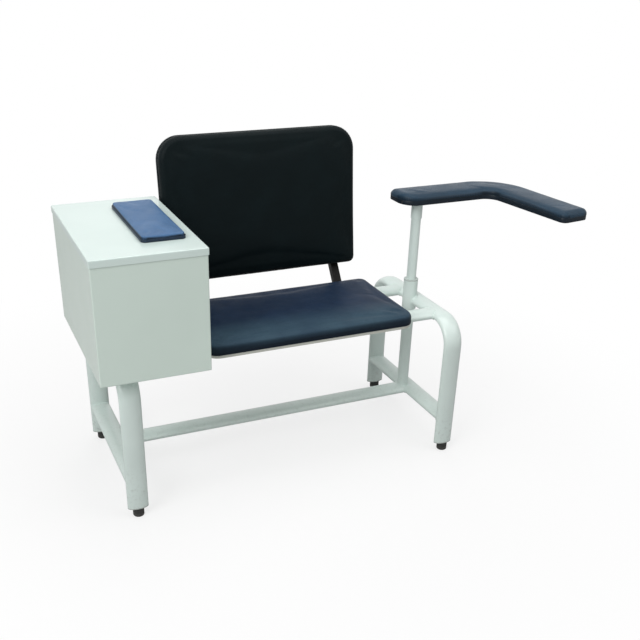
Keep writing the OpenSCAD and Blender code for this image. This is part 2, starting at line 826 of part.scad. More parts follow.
module seat_screws() {
    color("#9a9fa0") for (p = seat_points)
        let (off = abs(p[1]) == front_tube_y ? 0 : rear_screw_step,
             drop = tube_t / 2 * (1 + sqrt(1 - pow(2 * (off + screw_d) / tube_w, 2))))
        translate([p[0], p[1], rest_height - tube_t / 2 - drop / 2 - tube_t / 4])
            screw(screw_d, tube_t / 4 + drop / 2 + tube_t / 2 + seat_board_t * board_bite_share);
}

// Back: everything behind the sitter stands in the frame of the brackets' upper run

module in_back_frame() {
    translate([0, back_y, back_z]) rotate([-back_tilt, 0, 0]) children();
}

function bracket_points(inset) =
    let (s = bracket_w / 2 - inset, r = bracket_corner - inset * 0.8)
    [for (k = [0 : 3]) for (i = [0 : 3])
        let (a = 90 * k + 30 * i, x = k == 0 || k == 3 ? 1 : -1, y = k < 2 ? 1 : -1)
        [x * (s - r) + r * cos(a), y * (s - r) + r * sin(a)]];

module bracket_section(inset) {
    polygon(bracket_points(inset));
}

// Path of a bracket from its foot: distance back, height and lean at each station
function low_bend(a) = [bracket_bend_r * (1 - cos(a)), bracket_foot + bracket_bend_r * sin(a), a];
function high_bend(a) =
    let (u = bracket_run + bracket_bend_r * sin(a), v = bracket_bend_r * (1 - cos(a)))
    [bend1_y + u * sin(bracket_lean) - v * cos(bracket_lean),
     bracket_foot + bend1_z + u * cos(bracket_lean) + v * sin(bracket_lean), bracket_lean - a];

function bracket_path(extra) =
    let (steps = bracket_bend_steps, top = high_bend(bracket_back_angle), l = bracket_top + extra)
    concat([[0, -extra, 0]],
           [for (i = [0 : steps]) low_bend(bracket_low_angle * i / steps)],
           [for (i = [0 : steps]) high_bend(bracket_back_angle * i / steps)],
           [[top[0] + l * sin(back_tilt), top[1] + l * cos(back_tilt), back_tilt]]);

module bracket_solid(inset, extra) {
    section = bracket_points(inset);
    n = len(section);
    path = bracket_path(extra);
    points = [for (q = path) for (i = [n - 1 : -1 : 0])
        let (p = section[i]) [p[0], q[0] + p[1] * cos(q[2]), q[1] - p[1] * sin(q[2])]];
    polyhedron(points, skin_faces(len(path), n));
}

module back_bracket(x) {
    color("#2e2a28") difference() {
        translate([x, bracket_y, bracket_z]) bracket_solid(0, 0);
        translate([x, bracket_y, bracket_z]) bracket_solid(bracket_wall, over);
        translate([x, bracket_y, bracket_bolt_z]) rotate([90, 0, 0])
            cylinder(d = bolt_d + 2 * hole_gap, h = 2 * bracket_w, center = true);
        in_back_frame() for (k = back_screw_shares)
            translate([x, 0, k * bracket_top]) rotate([90, 0, 0])
                cylinder(d = screw_d + 2 * hole_gap, h = 2 * bracket_w, center = true);
    }
}

module back_bracket_left() {
    back_bracket(bracket_xs[0]);
}

module back_bracket_right() {
    back_bracket(bracket_xs[1]);
}

module bracket_caps() {
    cap_fill = bracket_wall + fit_gap * 2;
    color("#1d1d1e") for (x = bracket_xs) {
        translate([x, bracket_y, bracket_z]) {
            translate([0, 0, -cap_t]) linear_extrude(cap_t) bracket_section(0);
            linear_extrude(cap_t) bracket_section(cap_fill);
        }
        in_back_frame() translate([x, 0, bracket_top]) {
            linear_extrude(cap_t) bracket_section(0);
            translate([0, 0, -cap_t]) linear_extrude(cap_t) bracket_section(cap_fill);
        }
    }
}

bolt_head_h = bolt_d * head_h_share;
bolt_nut_h = bolt_d * nut_h_share;

module bracket_bolts() {
    grip = tube_w + bracket_w;
    color("#8f9596") for (x = bracket_xs)
        translate([x, bracket_y + bracket_w / 2, bracket_bolt_z]) rotate([90, 0, 0])
            screw(bolt_d, grip + bolt_nut_h);
}

module bracket_nuts() {
    color("#8f9596") for (x = bracket_xs)
        translate([x, rear_tube_y - tube_w / 2, bracket_bolt_z]) rotate([90, 0, 0]) difference() {
            cylinder(d = bolt_d * nut_share, h = bolt_nut_h, $fn = 6);
            translate([0, 0, -over]) cylinder(d = bolt_d + 2 * fit_gap, h = bolt_nut_h + 2 * over);
        }
}

back_face = -bracket_w / 2;

module back_board() {
    color("#232428") difference() {
        in_back_frame() translate([back_shift, back_face, back_h / 2 - back_drop])
            rotate([90, 0, 0]) linear_extrude(back_board_t)
                board_outline(back_w - 2 * board_inset, back_h - 2 * board_inset,
                              back_low_r, back_top_r);
        in_back_frame() for (x = bracket_xs) for (k = back_screw_shares)
            translate([x, back_face + over, k * bracket_top]) rotate([90, 0, 0])
                cylinder(d = screw_d + 2 * fit_gap, h = over + back_board_t * board_bite_share);
    }
}

module back_cushion() {
    color("#1f232b") in_back_frame()
        translate([back_shift, back_face - back_board_t - face_gap, back_h / 2 - back_drop])
            rotate([90, 0, 0])
                cushion_form(back_w, back_h, back_pad_t, back_low_r, back_top_r, back_crown,
                             cushion_pinch, cushion_round);
}

module back_screws() {
    color("#8f9596") in_back_frame() for (x = bracket_xs) for (k = back_screw_shares)
        translate([x, bracket_w / 2, k * bracket_top]) rotate([90, 0, 0])
            screw(screw_d, bracket_w + back_board_t * board_bite_share);
}

// Cabinet

// Block between two corners with round edges of radius r
module round_block(p, q, r) {
    s = q - p;
    translate(p + [r, 0, r]) cube(s - [2 * r, 0, 2 * r]);
    translate(p + [0, r, r]) cube(s - [0, 2 * r, 2 * r]);
    translate(p + [r, r, 0]) cube(s - [2 * r, 2 * r, 0]);
    for (x = [p[0] + r, q[0] - r]) for (y = [p[1] + r, q[1] - r]) {
        translate([x, y, p[2] + r]) cylinder(r = r, h = s[2] - 2 * r, $fn = 16);
        for (z = [p[2] + r, q[2] - r]) translate([x, y, z]) sphere(r, $fn = 16);
    }
    for (z = [p[2] + r, q[2] - r]) {
        for (y = [p[1] + r, q[1] - r])
            translate([p[0] + r, y, z]) rotate([0, 90, 0]) cylinder(r = r, h = s[0] - 2 * r, $fn = 16);
        for (x = [p[0] + r, q[0] - r])
            translate([x, p[1] + r, z]) rotate([-90, 0, 0]) cylinder(r = r, h = s[1] - 2 * r, $fn = 16);
    }
}

module box_between(p, q) {
    translate(p) cube(q - p);
}

body_x0 = cab_x0 + lid_step;
body_x1 = cab_x1 - lid_step;
body_y0 = cab_y0 + lid_step;

module cabinet_body() {
    in_x0 = body_x0 + sheet_t;
    in_x1 = body_x1 - sheet_t;
    in_y0 = body_y0 + sheet_t;
    color("#bfc9c2") difference() {
        round_block([body_x0, body_y0, cab_z0], [body_x1, cab_y1, body_top + 2 * fold_r], fold_r);
        box_between([cab_x0, cab_y0 - over, body_top], [cab_x1, cab_y1 + over, body_top + 3 * fold_r]);
        box_between([cab_x0, cab_y1 - rear_step, rear_top],
                    [cab_x1, cab_y1 + over, body_top + fold_r]);
        box_between([in_x0, in_y0, cab_z0 + sheet_t], [in_x1, cab_y1 - sheet_t, rear_top - sheet_t]);
        box_between([in_x0, in_y0, rear_top - 2 * sheet_t],
                    [in_x1, cab_y1 - flange_w, body_top - sheet_t]);
        box_between([in_x0, cab_y1 - flange_w - over, rear_top],
                    [in_x1, cab_y1 + over, body_top + over]);
        box_between([in_x0 + flange_w, in_y0 + flange_w, body_top - 2 * sheet_t],
                    [in_x1 - flange_w, cab_y1 - flange_w, body_top + over]);
        for (p = cab_points) translate([p[0], p[1], cab_z0 - over])
            cylinder(d = screw_d + 2 * hole_gap, h = sheet_t + 2 * over);
        for (x = rivet_xs) translate([x, cab_y1, hinge_z - leaf_rivet_z]) rotate([90, 0, 0])
            cylinder(d = rivet_d + 2 * fit_gap, h = 4 * sheet_t, center = true, $fn = 24);
    }
}

module cabinet_lid() {
    color("#e6ece7") difference() {
        round_block([cab_x0, cab_y0, lip_z - 2 * fold_r], [cab_x1, cab_y1, cab_z1], fold_r);
        box_between([cab_x0 - over, cab_y0 - over, lip_z - 3 * fold_r],
                    [cab_x1 + over, cab_y1 + over, lip_z]);
        box_between([cab_x0 + sheet_t, cab_y0 + sheet_t, lip_z - over],
                    [cab_x1 - sheet_t, cab_y1 - sheet_t, cab_z1 - sheet_t]);
        for (x = rivet_xs) translate([x, cab_y1, hinge_z + leaf_rivet_z]) rotate([90, 0, 0])
            cylinder(d = rivet_d + 2 * fit_gap, h = 4 * sheet_t, center = true, $fn = 24);
        for (p = lid_screw_points) translate([p[0], p[1], cab_z1 - 2 * sheet_t])
            cylinder(d = small_screw_d + 2 * hole_gap, h = 4 * sheet_t, $fn = 24);
    }
}

module cabinet_bolts() {
    color("#8f9596") for (p = cab_points)
        translate([p[0], p[1], cab_z0 + sheet_t]) rotate([180, 0, 0])
            screw(screw_d, sheet_t + tube_t + screw_d * nut_h_share);
}

module cabinet_nuts() {
    h = screw_d * nut_h_share;
    color("#8f9596") for (p = cab_points) translate([p[0], p[1], cab_z0 - tube_t - h]) difference() {
        cylinder(d = screw_d * nut_share, h = h, $fn = 6);
        translate([0, 0, -over]) cylinder(d = screw_d + 2 * fit_gap, h = h + 2 * over);
    }
}

module lid_bumpers() {
    inset = flange_w / 2 + sheet_t;
    color("#1c1c1d") for (x = [body_x0 + inset, body_x1 - inset])
        for (y = [body_y0 + inset, cab_y1 - cabinet_d / 3])
            translate([x, y, body_top]) cylinder(d = bumper_d, h = bumper_t - face_gap, $fn = 24);
}

// Piano hinge along the rear top edge

leaf_rivet_z = knuckle_d / 2 + (leaf_h - knuckle_d / 2) * 0.55;
rivet_xs = [for (i = [0 : rivet_count - 1])
    hinge_x0 + hinge_len * (i + 0.5) / rivet_count];
knuckle_len = hinge_len / knuckles;

// One leaf: side 1 rises on the lid and side -1 hangs on the body
module hinge_leaf(side, first) {
    plate_low = knuckle_d / 2 + knuckle_gap;
    difference() {
        union() {
            translate([hinge_x0, cab_y1, hinge_z + (side > 0 ? plate_low : -leaf_h)])
                cube([hinge_len, leaf_t, leaf_h - plate_low]);
            for (i = [first : 2 : knuckles - 1]) {
                x = hinge_x0 + i * knuckle_len + knuckle_gap / 2;
                translate([x, hinge_y, hinge_z]) rotate([0, 90, 0])
                    cylinder(d = knuckle_d, h = knuckle_len - knuckle_gap, $fn = 24);
                translate([x, cab_y1, hinge_z + (side > 0 ? 0 : -leaf_h)])
                    cube([knuckle_len - knuckle_gap, leaf_t, leaf_h]);
            }
        }
        translate([hinge_x0 - over, hinge_y, hinge_z]) rotate([0, 90, 0])
            cylinder(d = pin_d + 2 * run_gap, h = hinge_len + 2 * over, $fn = 24);
        for (x = rivet_xs) translate([x, cab_y1, hinge_z + side * leaf_rivet_z]) rotate([90, 0, 0])
            cylinder(d = rivet_d + 2 * fit_gap, h = 4 * leaf_t, center = true, $fn = 24);
    }
}

module hinge_leaf_body() {
    color("#a9afad") hinge_leaf(-1, 0);
}

module hinge_leaf_lid() {
    color("#a9afad") hinge_leaf(1, 1);
}

module hinge_pin() {
    color("#8f9596") translate([hinge_x0, hinge_y, hinge_z]) rotate([0, 90, 0])
        cylinder(d = pin_d, h = hinge_len, $fn = 24);
}

module hinge_rivets(side) {
    color("#b4b9b8") for (x = rivet_xs)
        translate([x, cab_y1 + leaf_t, hinge_z + side * leaf_rivet_z]) rotate([90, 0, 0]) {
            translate([0, 0, -rivet_head_h]) cylinder(d = rivet_head_d, h = rivet_head_h, $fn = 24);
            cylinder(d = rivet_d, h = leaf_t + sheet_t, $fn = 24);
        }
}

module hinge_rivets_body() {
    hinge_rivets(-1);
}

module hinge_rivets_lid() {
    hinge_rivets(1);
}

// Arm pad on the lid

lid_screw_points = [for (s = [-1, 1]) for (t = [-1, 1])
    [lid_pad_x + s * lid_pad_w / 4, lid_pad_y + t * lid_pad_l / 3]];

module lid_pad_board() {
    color("#26282d") difference() {
        translate([lid_pad_x, lid_pad_y, cab_z1]) linear_extrude(lid_board_t)
            board_outline(lid_pad_w - board_inset, lid_pad_l - board_inset, lid_pad_r, lid_pad_r);
        for (p = lid_screw_points) translate([p[0], p[1], cab_z1 - over])
            cylinder(d = small_screw_d + 2 * fit_gap, h = over + lid_board_t * board_bite_share);
    }
}

module lid_pad() {
    color("#2a3550") translate([lid_pad_x, lid_pad_y, cab_z1 + lid_board_t + face_gap])
        cushion_form(lid_pad_w, lid_pad_l, lid_pad_t, lid_pad_r, lid_pad_r, lid_crown,
                     cushion_pinch / 3, cushion_round / 2);
}

module lid_pad_screws() {
    color("#9a9fa0") for (p = lid_screw_points) translate([p[0], p[1], cab_z1 - sheet_t])
        screw(small_screw_d, sheet_t + lid_board_t * board_bite_share);
}

// The origin is under the middle of the whole object's box
extent_x0 = cab_x0;
extent_x1 = max([for (p = arm_outline(0)) p[0]]);
extent_y0 = min([for (p = arm_outline(0)) p[1]]);
bracket_end_y = back_y + bracket_top * sin(back_tilt) + bracket_w / 2 * cos(back_tilt);
extent_y1 = max(leg_y + max(foot_d, tube_t) / 2, bracket_end_y + cap_t * sin(back_tilt));
origin_x = (extent_x0 + extent_x1) / 2;
origin_y = (extent_y0 + extent_y1) / 2;
echo(origin = [origin_x, origin_y], post = [post_x - origin_x, -origin_y],
     hinge = [hinge_y - origin_y, hinge_z], back = [back_y - origin_y, back_z],
     clamp_z = clamp_z, arm = [plate_z, arm_height]);

place() left_end_frame();
place() right_end_frame();
place() left_side_rail();
place() right_side_rail();
place() stretcher();
place() front_cross_tube();
place() rear_cross_tube();
place() plug_front_left();
place() plug_front_right();
place() plug_rear_left();
place() plug_rear_right();
place() foot_front_left();
place() foot_front_right();
place() foot_rear_left();
place() foot_rear_right();
place() post_guide_tube();
place() post_collar();
place() clamp_boss();
place() guide_bush();
place() clamp_stud();
place() clamp_knob();
place() arm_post();
place() post_glide();
place() post_top_plug();
place() pivot_bolt();
place() swivel_hub();
place() arm_plate();
place() arm_board();
place() arm_pad();
place() arm_screws();
place() seat_board();
place() seat_cushion();
place() seat_screws();
place() back_bracket_left();
place() back_bracket_right();
place() bracket_caps();
place() bracket_bolts();
place() bracket_nuts();
place() back_board();
place() back_cushion();
place() back_screws();
place() cabinet_body();
place() cabinet_lid();
place() cabinet_bolts();
place() cabinet_nuts();
place() lid_bumpers();
place() hinge_leaf_body();
place() hinge_leaf_lid();
place() hinge_pin();
place() hinge_rivets_body();
place() hinge_rivets_lid();
place() lid_pad_board();
place() lid_pad();
place() lid_pad_screws();
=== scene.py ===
"""Phlebotomy chair: cushions, wraps, welds, fasteners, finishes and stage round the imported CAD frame."""

import json
import math
from functools import partial

import bmesh
import bpy
import numpy as np
from bpy.props import FloatProperty, FloatVectorProperty, IntProperty, PointerProperty
from bpy.types import Operator, Panel, PropertyGroup
from mathutils import Matrix, Vector, noise
from mathutils.kdtree import KDTree


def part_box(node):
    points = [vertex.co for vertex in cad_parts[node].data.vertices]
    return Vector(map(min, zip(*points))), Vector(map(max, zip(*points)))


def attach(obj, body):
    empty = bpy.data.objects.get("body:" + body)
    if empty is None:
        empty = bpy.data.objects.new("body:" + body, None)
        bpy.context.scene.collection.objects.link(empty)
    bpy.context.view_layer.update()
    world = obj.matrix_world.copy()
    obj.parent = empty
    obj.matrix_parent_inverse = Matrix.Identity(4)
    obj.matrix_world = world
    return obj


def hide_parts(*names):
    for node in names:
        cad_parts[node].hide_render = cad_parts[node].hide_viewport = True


bl_info = {
    "name": "Phlebotomy chair",
    "version": (1, 0, 0),
    "blender": (4, 5, 0),
    "location": "3D View > Sidebar > Chair",
    "description": "Upholstery, welds, fasteners and finishes for a tube-framed blood-draw chair",
    "category": "Object",
}

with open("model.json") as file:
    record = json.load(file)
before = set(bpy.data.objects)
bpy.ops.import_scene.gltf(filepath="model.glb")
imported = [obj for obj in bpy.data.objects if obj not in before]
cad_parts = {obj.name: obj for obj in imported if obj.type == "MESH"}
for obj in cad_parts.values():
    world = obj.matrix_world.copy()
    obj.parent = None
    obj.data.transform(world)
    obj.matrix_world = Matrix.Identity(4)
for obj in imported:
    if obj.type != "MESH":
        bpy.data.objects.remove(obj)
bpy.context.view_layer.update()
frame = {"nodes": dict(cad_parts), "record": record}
MM = 0.001


def middle(node_name):
    """Centre of a CAD node's box"""
    low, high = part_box(node_name)
    return (low + high) / 2


# The chair's own origin: on the floor, half way between the end frames
CHAIR = (middle("left_end_frame") + middle("right_end_frame")) / 2
CHAIR.z = 0


def linear(hex_colour):
    """Linear RGBA of an sRGB hex colour"""
    parts = [int(hex_colour[i : i + 2], 16) / 255 for i in (1, 3, 5)]
    return [c / 12.92 if c <= 0.04045 else ((c + 0.055) / 1.055) ** 2.4 for c in parts] + [1]


# Settings


def length(name, description, millimetres, low=0.0, high=1000.0):
    return FloatProperty(
        name=name, description=description, default=millimetres * MM, min=low * MM, max=high * MM,
        unit="LENGTH", precision=4,
    )


def colour(name, description, hex_colour):
    return FloatVectorProperty(
        name=name, description=description, default=linear(hex_colour), size=4, min=0, max=1,
        subtype="COLOR",
    )


def number(name, description, value, subtype="NONE"):
    return FloatProperty(name=name, description=description, default=value, subtype=subtype)


class UpholsterySettings(PropertyGroup):
    """Vinyl colours and the sizes of the padded pieces"""

    seat_colour: colour("Seat vinyl", "Navy vinyl on the seat", "#1E2D42")
    back_colour: colour("Back vinyl", "Near-black navy vinyl on the back", "#091315")
    arm_colour: colour("Arm vinyl", "Dark navy vinyl on the swing arm", "#283D4E")
    lid_pad_colour: colour("Lid pad vinyl", "Slate blue vinyl on the lid's pad", "#466A92")
    # The next two set a painted highlight: a paler, patchy band along the seat's front, where light catches
    # its rounded front edge
    front_highlight_colour: colour("Worn vinyl", "Seat vinyl rubbed greyer along its front", "#435A68")
    front_highlight_depth: length("Worn depth", "How far the rubbed vinyl reaches from the seat's front", 150)
    # Painted shade: the pads' sides and rims are darkened towards this colour
    side_shade_colour: colour("Border", "Near-black vinyl round the pads' sides", "#151C23")
    grain: length("Grain", "Size of one pebble of the vinyl's grain", 2.4, 0.5, 6)
    voxel: length("Foam grid", "Grid of the simulated foam and vinyl", 5, 3, 10)
    seat_round: length("Seat edge", "Rounding of the seat's upper edge", 12, 4, 30)
    back_round: length("Back edge", "Rounding of the back's front edge", 16, 4, 30)
    lid_pad_round: length("Lid pad edge", "Rounding of the lid pad's upper edge", 5, 2, 14)
    arm_round: length("Arm edge", "Rounding of the arm pad's upper edge", 17, 4, 30)
    pinch: length("Pinch", "How far the long sides pull in between corners", 1.2, 0, 10)
    wrap: length("Wrap", "Thickness of the vinyl round the boards' edges", 1.1, 0.5, 2)
    back_tilt: number("Back tilt", "Tilt of the back from upright", math.radians(6.8), "ANGLE")


class ArmSettings(PropertyGroup):
    """The swing arm's pad, along its centre line"""

    tail: length("Tail", "Length behind the post", 73)
    reach: length("Reach", "Length from the post to the bend", 191)
    bend_radius: length("Bend radius", "Radius of the centre line's bend", 95)
    turn: number("Turn", "Angle of the bend", math.radians(83), "ANGLE")
    fore: length("Forearm", "Length past the bend", 270)
    width: length("Width", "Width of the pad", 112)
    tip_width: length("Tip width", "Width at the free end", 100)
    tail_rear_radius: length("Tail rear corner", "Corner radius behind the post", 18)
    tail_front_radius: length("Tail front corner", "Corner radius behind the post", 54.9)
    tip_radius: length("Tip corners", "Corner radii at the free end", 20)
    thickness: length("Thickness", "Thickness of the pad at its edge", 19)
    crown: length("Crown", "Rise of the pad's middle above its edge", 4)


class HardwareSettings(PropertyGroup):
    """Welds, staples, fasteners and knob"""

    weld_size: length("Weld size", "Radius of a weld bead", 3.0, 1, 6)
    weld_pitch: length("Weld pitch", "Spacing of a weld's ripples", 2.2, 1, 6)
    staple_pitch: length("Staple pitch", "Spacing of the staples", 24, 10, 60)
    staple_crown: length("Staple crown", "Width of a staple", 10, 6, 14)
    knob_radius: length("Knob radius", "Radius over the clamp knob's lobes", 17, 12, 20)
    seed: IntProperty(name="Seed", description="Seed of the small irregularities", default=7)


class PaintSettings(PropertyGroup):
    """Paint, plastic and wood colours"""

    frame_colour: colour("Frame", "Powder coat of the tube frame", "#D2DFDA")
    cabinet_colour: colour("Cabinet", "Enamel of the cabinet", "#D1E0D7")
    lid_colour: colour("Lid", "Enamel of the cabinet's lid", "#D1E0DB")
    bracket_colour: colour("Brackets", "Satin paint of the back brackets", "#100F0E")
    plug_colour: colour("Leg plugs", "Moulded leg plugs", "#A9B0AB")
    rubber_colour: colour("Rubber", "Feet and lid bumpers", "#1A1B1B")
    bush_colour: colour("Post bush", "Moulded bush that the post slides in", "#BFC8C4")
    plastic_colour: colour("Black plastic", "Clamp knob and bracket caps", "#1C1D1F")
    ply_colour: colour("Seat board", "Sealed plywood of the seat board", "#C9CBC2")
    dark_ply_colour: colour("Dark boards", "Black-stained plywood", "#222225")


class StageSettings(PropertyGroup):
    """Floor, lamps and camera"""

    floor_colour: colour("Floor", "Pale studio floor as the camera sees it", "#F4F4F4")
    bounce_colour: colour("Bounce", "Grey that the floor throws back on the chair", "#CCCCCC")
    ambient: number("Ambient", "Level of the world's light", 0.30)
    key: number("Key", "Level of the upper left softbox", 0.50)
    top: number("Top", "Level of the softbox overhead", 0.53)
    fill: number("Fill", "Level of the right-hand softbox", 0.15)
    rear: number("Rear", "Level of the softbox behind", 0.15)


# Nodes

PRINCIPLED = "ShaderNodeBsdfPrincipled"
NOISE = "ShaderNodeTexNoise"
RANGE = "ShaderNodeMapRange"
MATH = "ShaderNodeMath"
VECTOR = "ShaderNodeVectorMath"
XYZ = "ShaderNodeSeparateXYZ"
MIX = "ShaderNodeMix"
BUMP = "ShaderNodeBump"
ALIGN = "FunctionNodeAlignRotationToVector"
ATTRIBUTE = "GeometryNodeInputNamedAttribute"
RANDOM = "FunctionNodeRandomValue"
SMOOTH_SHADE = "GeometryNodeSetShadeSmooth"
COLOURS = {"data_type": "RGBA", "out": "Result"}
SMOOTH = {"interpolation_type": "SMOOTHSTEP"}
WHITE = (1, 1, 1, 1)


def add(tree, kind, inputs=(), out=0, **settings):
    """Adds a node and returns one of its outputs; an input is a value or the output that feeds it"""
    made = tree.nodes.new(kind)
    for key, value in settings.items():
        setattr(made, key, value)
    for key, value in inputs.items() if isinstance(inputs, dict) else enumerate(inputs):
        if isinstance(value, bpy.types.NodeSocket):
            tree.links.new(value, made.inputs[key])
        else:
            made.inputs[key].default_value = value
    return made.outputs[out] if made.outputs else None


def new_material(name, base):
    """An empty material, what adds a node to it, and Object coordinates"""
    material = bpy.data.materials.new(name)
    material.use_nodes = True
    material.diffuse_color = base
    material.node_tree.nodes.clear()
    node = partial(add, material.node_tree)
    return material, node, node("ShaderNodeTexCoord", out="Object")


def finished(material, roughness, values):
    """Closes a material with its shader, whose plain colour and roughness stay under linked ones"""
    shader = add(material.node_tree, PRINCIPLED, values)
    shader.node.inputs["Base Color"].default_value = material.diffuse_color
    shader.node.inputs["Roughness"].default_value = roughness
    add(material.node_tree, "ShaderNodeOutputMaterial", {"Surface": shader})
    return material


def patches(node, place, size, low, high, a=0, b=1, detail=2, roughness=0.5, **look):
    """Clouds about `size` metres across: a where they are below low, b where they are above high"""
    cloud = node(NOISE, {"Vector": place, "Scale": 1 / size, "Detail": detail, "Roughness": roughness})
    return node(RANGE, (cloud, low, high, a, b), **look)


def relief(node, place, size, depth, strength, detail=2):
    """Shading of bumps about `size` metres across and depth metres deep"""
    height = node(NOISE, {"Vector": place, "Scale": 1 / size, "Detail": detail})
    return node(BUMP, {"Height": height, "Distance": depth, "Strength": strength})


def shade(rgba, factor):
    return [min(1, c * factor) for c in rgba[:3]] + [1]


# Materials


def powder_coat(name, base):
    """Polyester powder coat on steel tube: semi-gloss, a fine orange peel, painted lighter from 0.3 m up as
    painted light from above, and scuffed greyer low down
    """
    material, node, place = new_material(name, base)
    height = node(XYZ, (place,), "Z")
    clouds = patches(node, place, 0.14, 0.35, 0.65)
    tone = node(MIX, {"Factor": clouds, "A": shade(base, 0.965), "B": shade(base, 1.015)}, **COLOURS)
    # Painted light: from 0.3 m up the coat is painted up to 13 % lighter, in place of the light that falls
    # from above
    painted_top_light = node(RANGE, (height, 0.3, 0.47, 0, 1), **SMOOTH)
    tone = node(MIX, {"Factor": painted_top_light, "A": tone, "B": shade(base, 1.13)}, **COLOURS)
    low = node(RANGE, (height, 0.03, 0.22, 1, 0), **SMOOTH)
    scuffs = patches(node, place, 0.011, 0.52, 0.72, 0, 0.35, detail=4, roughness=0.65)
    grime = node(MATH, (low, scuffs), operation="MULTIPLY")
    # Real orange peel is about 1.5 mm across, drawn 3 mm so that it shows
    return finished(material, 0.34, {
        "Base Color": node(MIX, {"Factor": grime, "A": tone, "B": linear("#8E918B")}, **COLOURS),
        "Roughness": patches(node, place, 0.03, 0.3, 0.7, 0.29, 0.4, detail=3),
        "Normal": relief(node, place, 3 * MM, 0.06 * MM, 0.3, 1),
        "IOR": 1.5, "Coat Weight": 0.25, "Coat Roughness": 0.12,
    })


def enamel(name, base):
    """Stoved gloss enamel on sheet steel: glossy, faintly wavy where the sheet is not quite flat"""
    material, node, place = new_material(name, base)
    clouds = patches(node, place, 0.2, 0.35, 0.65)
    return finished(material, 0.36, {
        "Base Color": node(
            MIX, {"Factor": clouds, "A": shade(base, 0.975), "B": shade(base, 1.01)}, **COLOURS
        ),
        "Roughness": patches(node, place, 0.09, 0.3, 0.7, 0.33, 0.4, detail=1),
        "Normal": relief(node, place, 3.5 * MM, 0.03 * MM, 0.3, 1),
        "Coat Normal": relief(node, place, 280 * MM, 4 * MM, 0.5, 0.5),
        "IOR": 1.5, "Coat Weight": 0.4, "Coat Roughness": 0.16,
    })


def vinyl(name, base, grain, light, roughness, sheen, side_shade=None, front_highlight=None):
    """PVC-coated upholstery fabric: embossed pebble grain with painted shade in its valleys, rubbed slightly
    paler and smoother in use.

    side_shade is (colour, width, blur): a near-black painted shade on the sides, which reaches over the rim
    by width.
    front_highlight is (colour, y, depth): a painted highlight, paler in patches, from a front edge at y over
    the depth
    """
    material, node, place = new_material(name, base)
    swirl = node(NOISE, {"Vector": place, "Scale": 0.6 / grain}, "Color")
    swirl = node(VECTOR, (swirl, (grain * 0.5,) * 3), operation="MULTIPLY")
    cells = {"Vector": node(VECTOR, (place, swirl), operation="ADD"), "Scale": 1 / grain, "Randomness": 0.9}
    edges = node("ShaderNodeTexVoronoi", cells, "Distance", feature="DISTANCE_TO_EDGE")
    pebbles = node(RANGE, (edges, 0, 0.22, 0, 1), **SMOOTH)
    rubbed = patches(node, place, 0.09, 0.4, 0.72, detail=4, roughness=0.6, **SMOOTH)
    tone = node(MIX, {"Factor": rubbed, "A": base, "B": shade(base, light)}, **COLOURS)
    # Painted highlight: a paler, patchy band along the seat's front, where light catches its rounded edge
    if front_highlight is not None:
        highlight_colour, front, depth = front_highlight
        near = node(RANGE, (node(XYZ, (place,), "Y"), front + 0.1 * depth, front + depth, 1, 0), **SMOOTH)
        highlight_patches = patches(node, place, 0.16, 0.35, 0.65, 0.6, 1, detail=3)
        painted_highlight = node(MATH, (near, highlight_patches), operation="MULTIPLY")
        tone = node(MIX, {"Factor": painted_highlight, "A": tone, "B": highlight_colour}, **COLOURS)
    # Painted shade: the sides and a rim of the given width are darkened towards the near-black colour
    if side_shade is not None:
        dark, width, blur = side_shade
        inset = node("ShaderNodeAttribute", out="Fac", attribute_name="inset")
        inner = node(RANGE, (inset, width - blur, width + blur, 0, 1), **SMOOTH)
        tone = node(MIX, {"Factor": inner, "A": dark, "B": tone}, **COLOURS)
    # Painted shade: the grain's valleys are darkened towards 55 % of the base colour
    painted_valley_shade = node(RANGE, (pebbles, 0, 1, 0.45, 0))
    soft = relief(node, place, 35 * MM, 1.2 * MM, 0.35)
    pebbled = {"Height": pebbles, "Distance": 0.16 * MM, "Strength": 0.55, "Normal": soft}
    return finished(material, roughness, {
        "Base Color": node(MIX, {"Factor": painted_valley_shade, "A": tone, "B": shade(base, 0.55)}, **COLOURS),
        "Roughness": patches(
            node, place, 0.05, 0.3, 0.7, roughness + 0.07, roughness - 0.07, detail=5, roughness=0.6
        ),
        "Normal": node(BUMP, pebbled),
        "IOR": 1.53, "Specular IOR Level": sheen,
    })


def moulded(name, base, roughness):
    """Injection-moulded plastic with a fine spark-eroded texture"""
    material, node, place = new_material(name, base)
    clouds = node(NOISE, {"Vector": place, "Scale": 50, "Detail": 3})
    return finished(material, roughness, {
        "Base Color": node(
            MIX, {"Factor": clouds, "A": shade(base, 0.9), "B": shade(base, 1.12)}, **COLOURS
        ),
        "Normal": relief(node, place, 0.8 * MM, 0.05 * MM, 0.5),
        "IOR": 1.49,
    })


def foot_rubber(name, base):
    """Vulcanised rubber: matt, greyed with dust near the floor"""
    material, node, place = new_material(name, base)
    low = node(RANGE, (node(XYZ, (place,), "Z"), 0, 0.02, 0.5, 0.12))
    clumps = patches(node, place, 0.006, 0.4, 0.7, 0.2, 1, detail=4, roughness=0.7)
    dust = node(MATH, (low, clumps), operation="MULTIPLY")
    return finished(material, 0.78, {
        "Base Color": node(MIX, {"Factor": dust, "A": base, "B": linear("#6E6C66")}, **COLOURS),
        "Normal": relief(node, place, 1.2 * MM, 0.1 * MM, 0.6, 3),
        "IOR": 1.52,
    })


def zinc_plate(name, base):
    """Bright zinc plating on steel: a soft metal lustre with faint cloudy passivation"""
    material, node, place = new_material(name, base)
    clouds = patches(node, place, 0.008, 0.35, 0.7, detail=4, roughness=0.6)
    return finished(material, 0.34, {
        "Base Color": node(
            MIX, {"Factor": clouds, "A": shade(base, 0.82), "B": shade(base, 1.05)}, **COLOURS
        ),
        "Roughness": patches(node, place, 0.008, 0.3, 0.7, 0.26, 0.44, detail=4, roughness=0.6),
        "Normal": relief(node, place, 0.6 * MM, 0.03 * MM, 0.5),
        "Metallic": 1.0,
    })


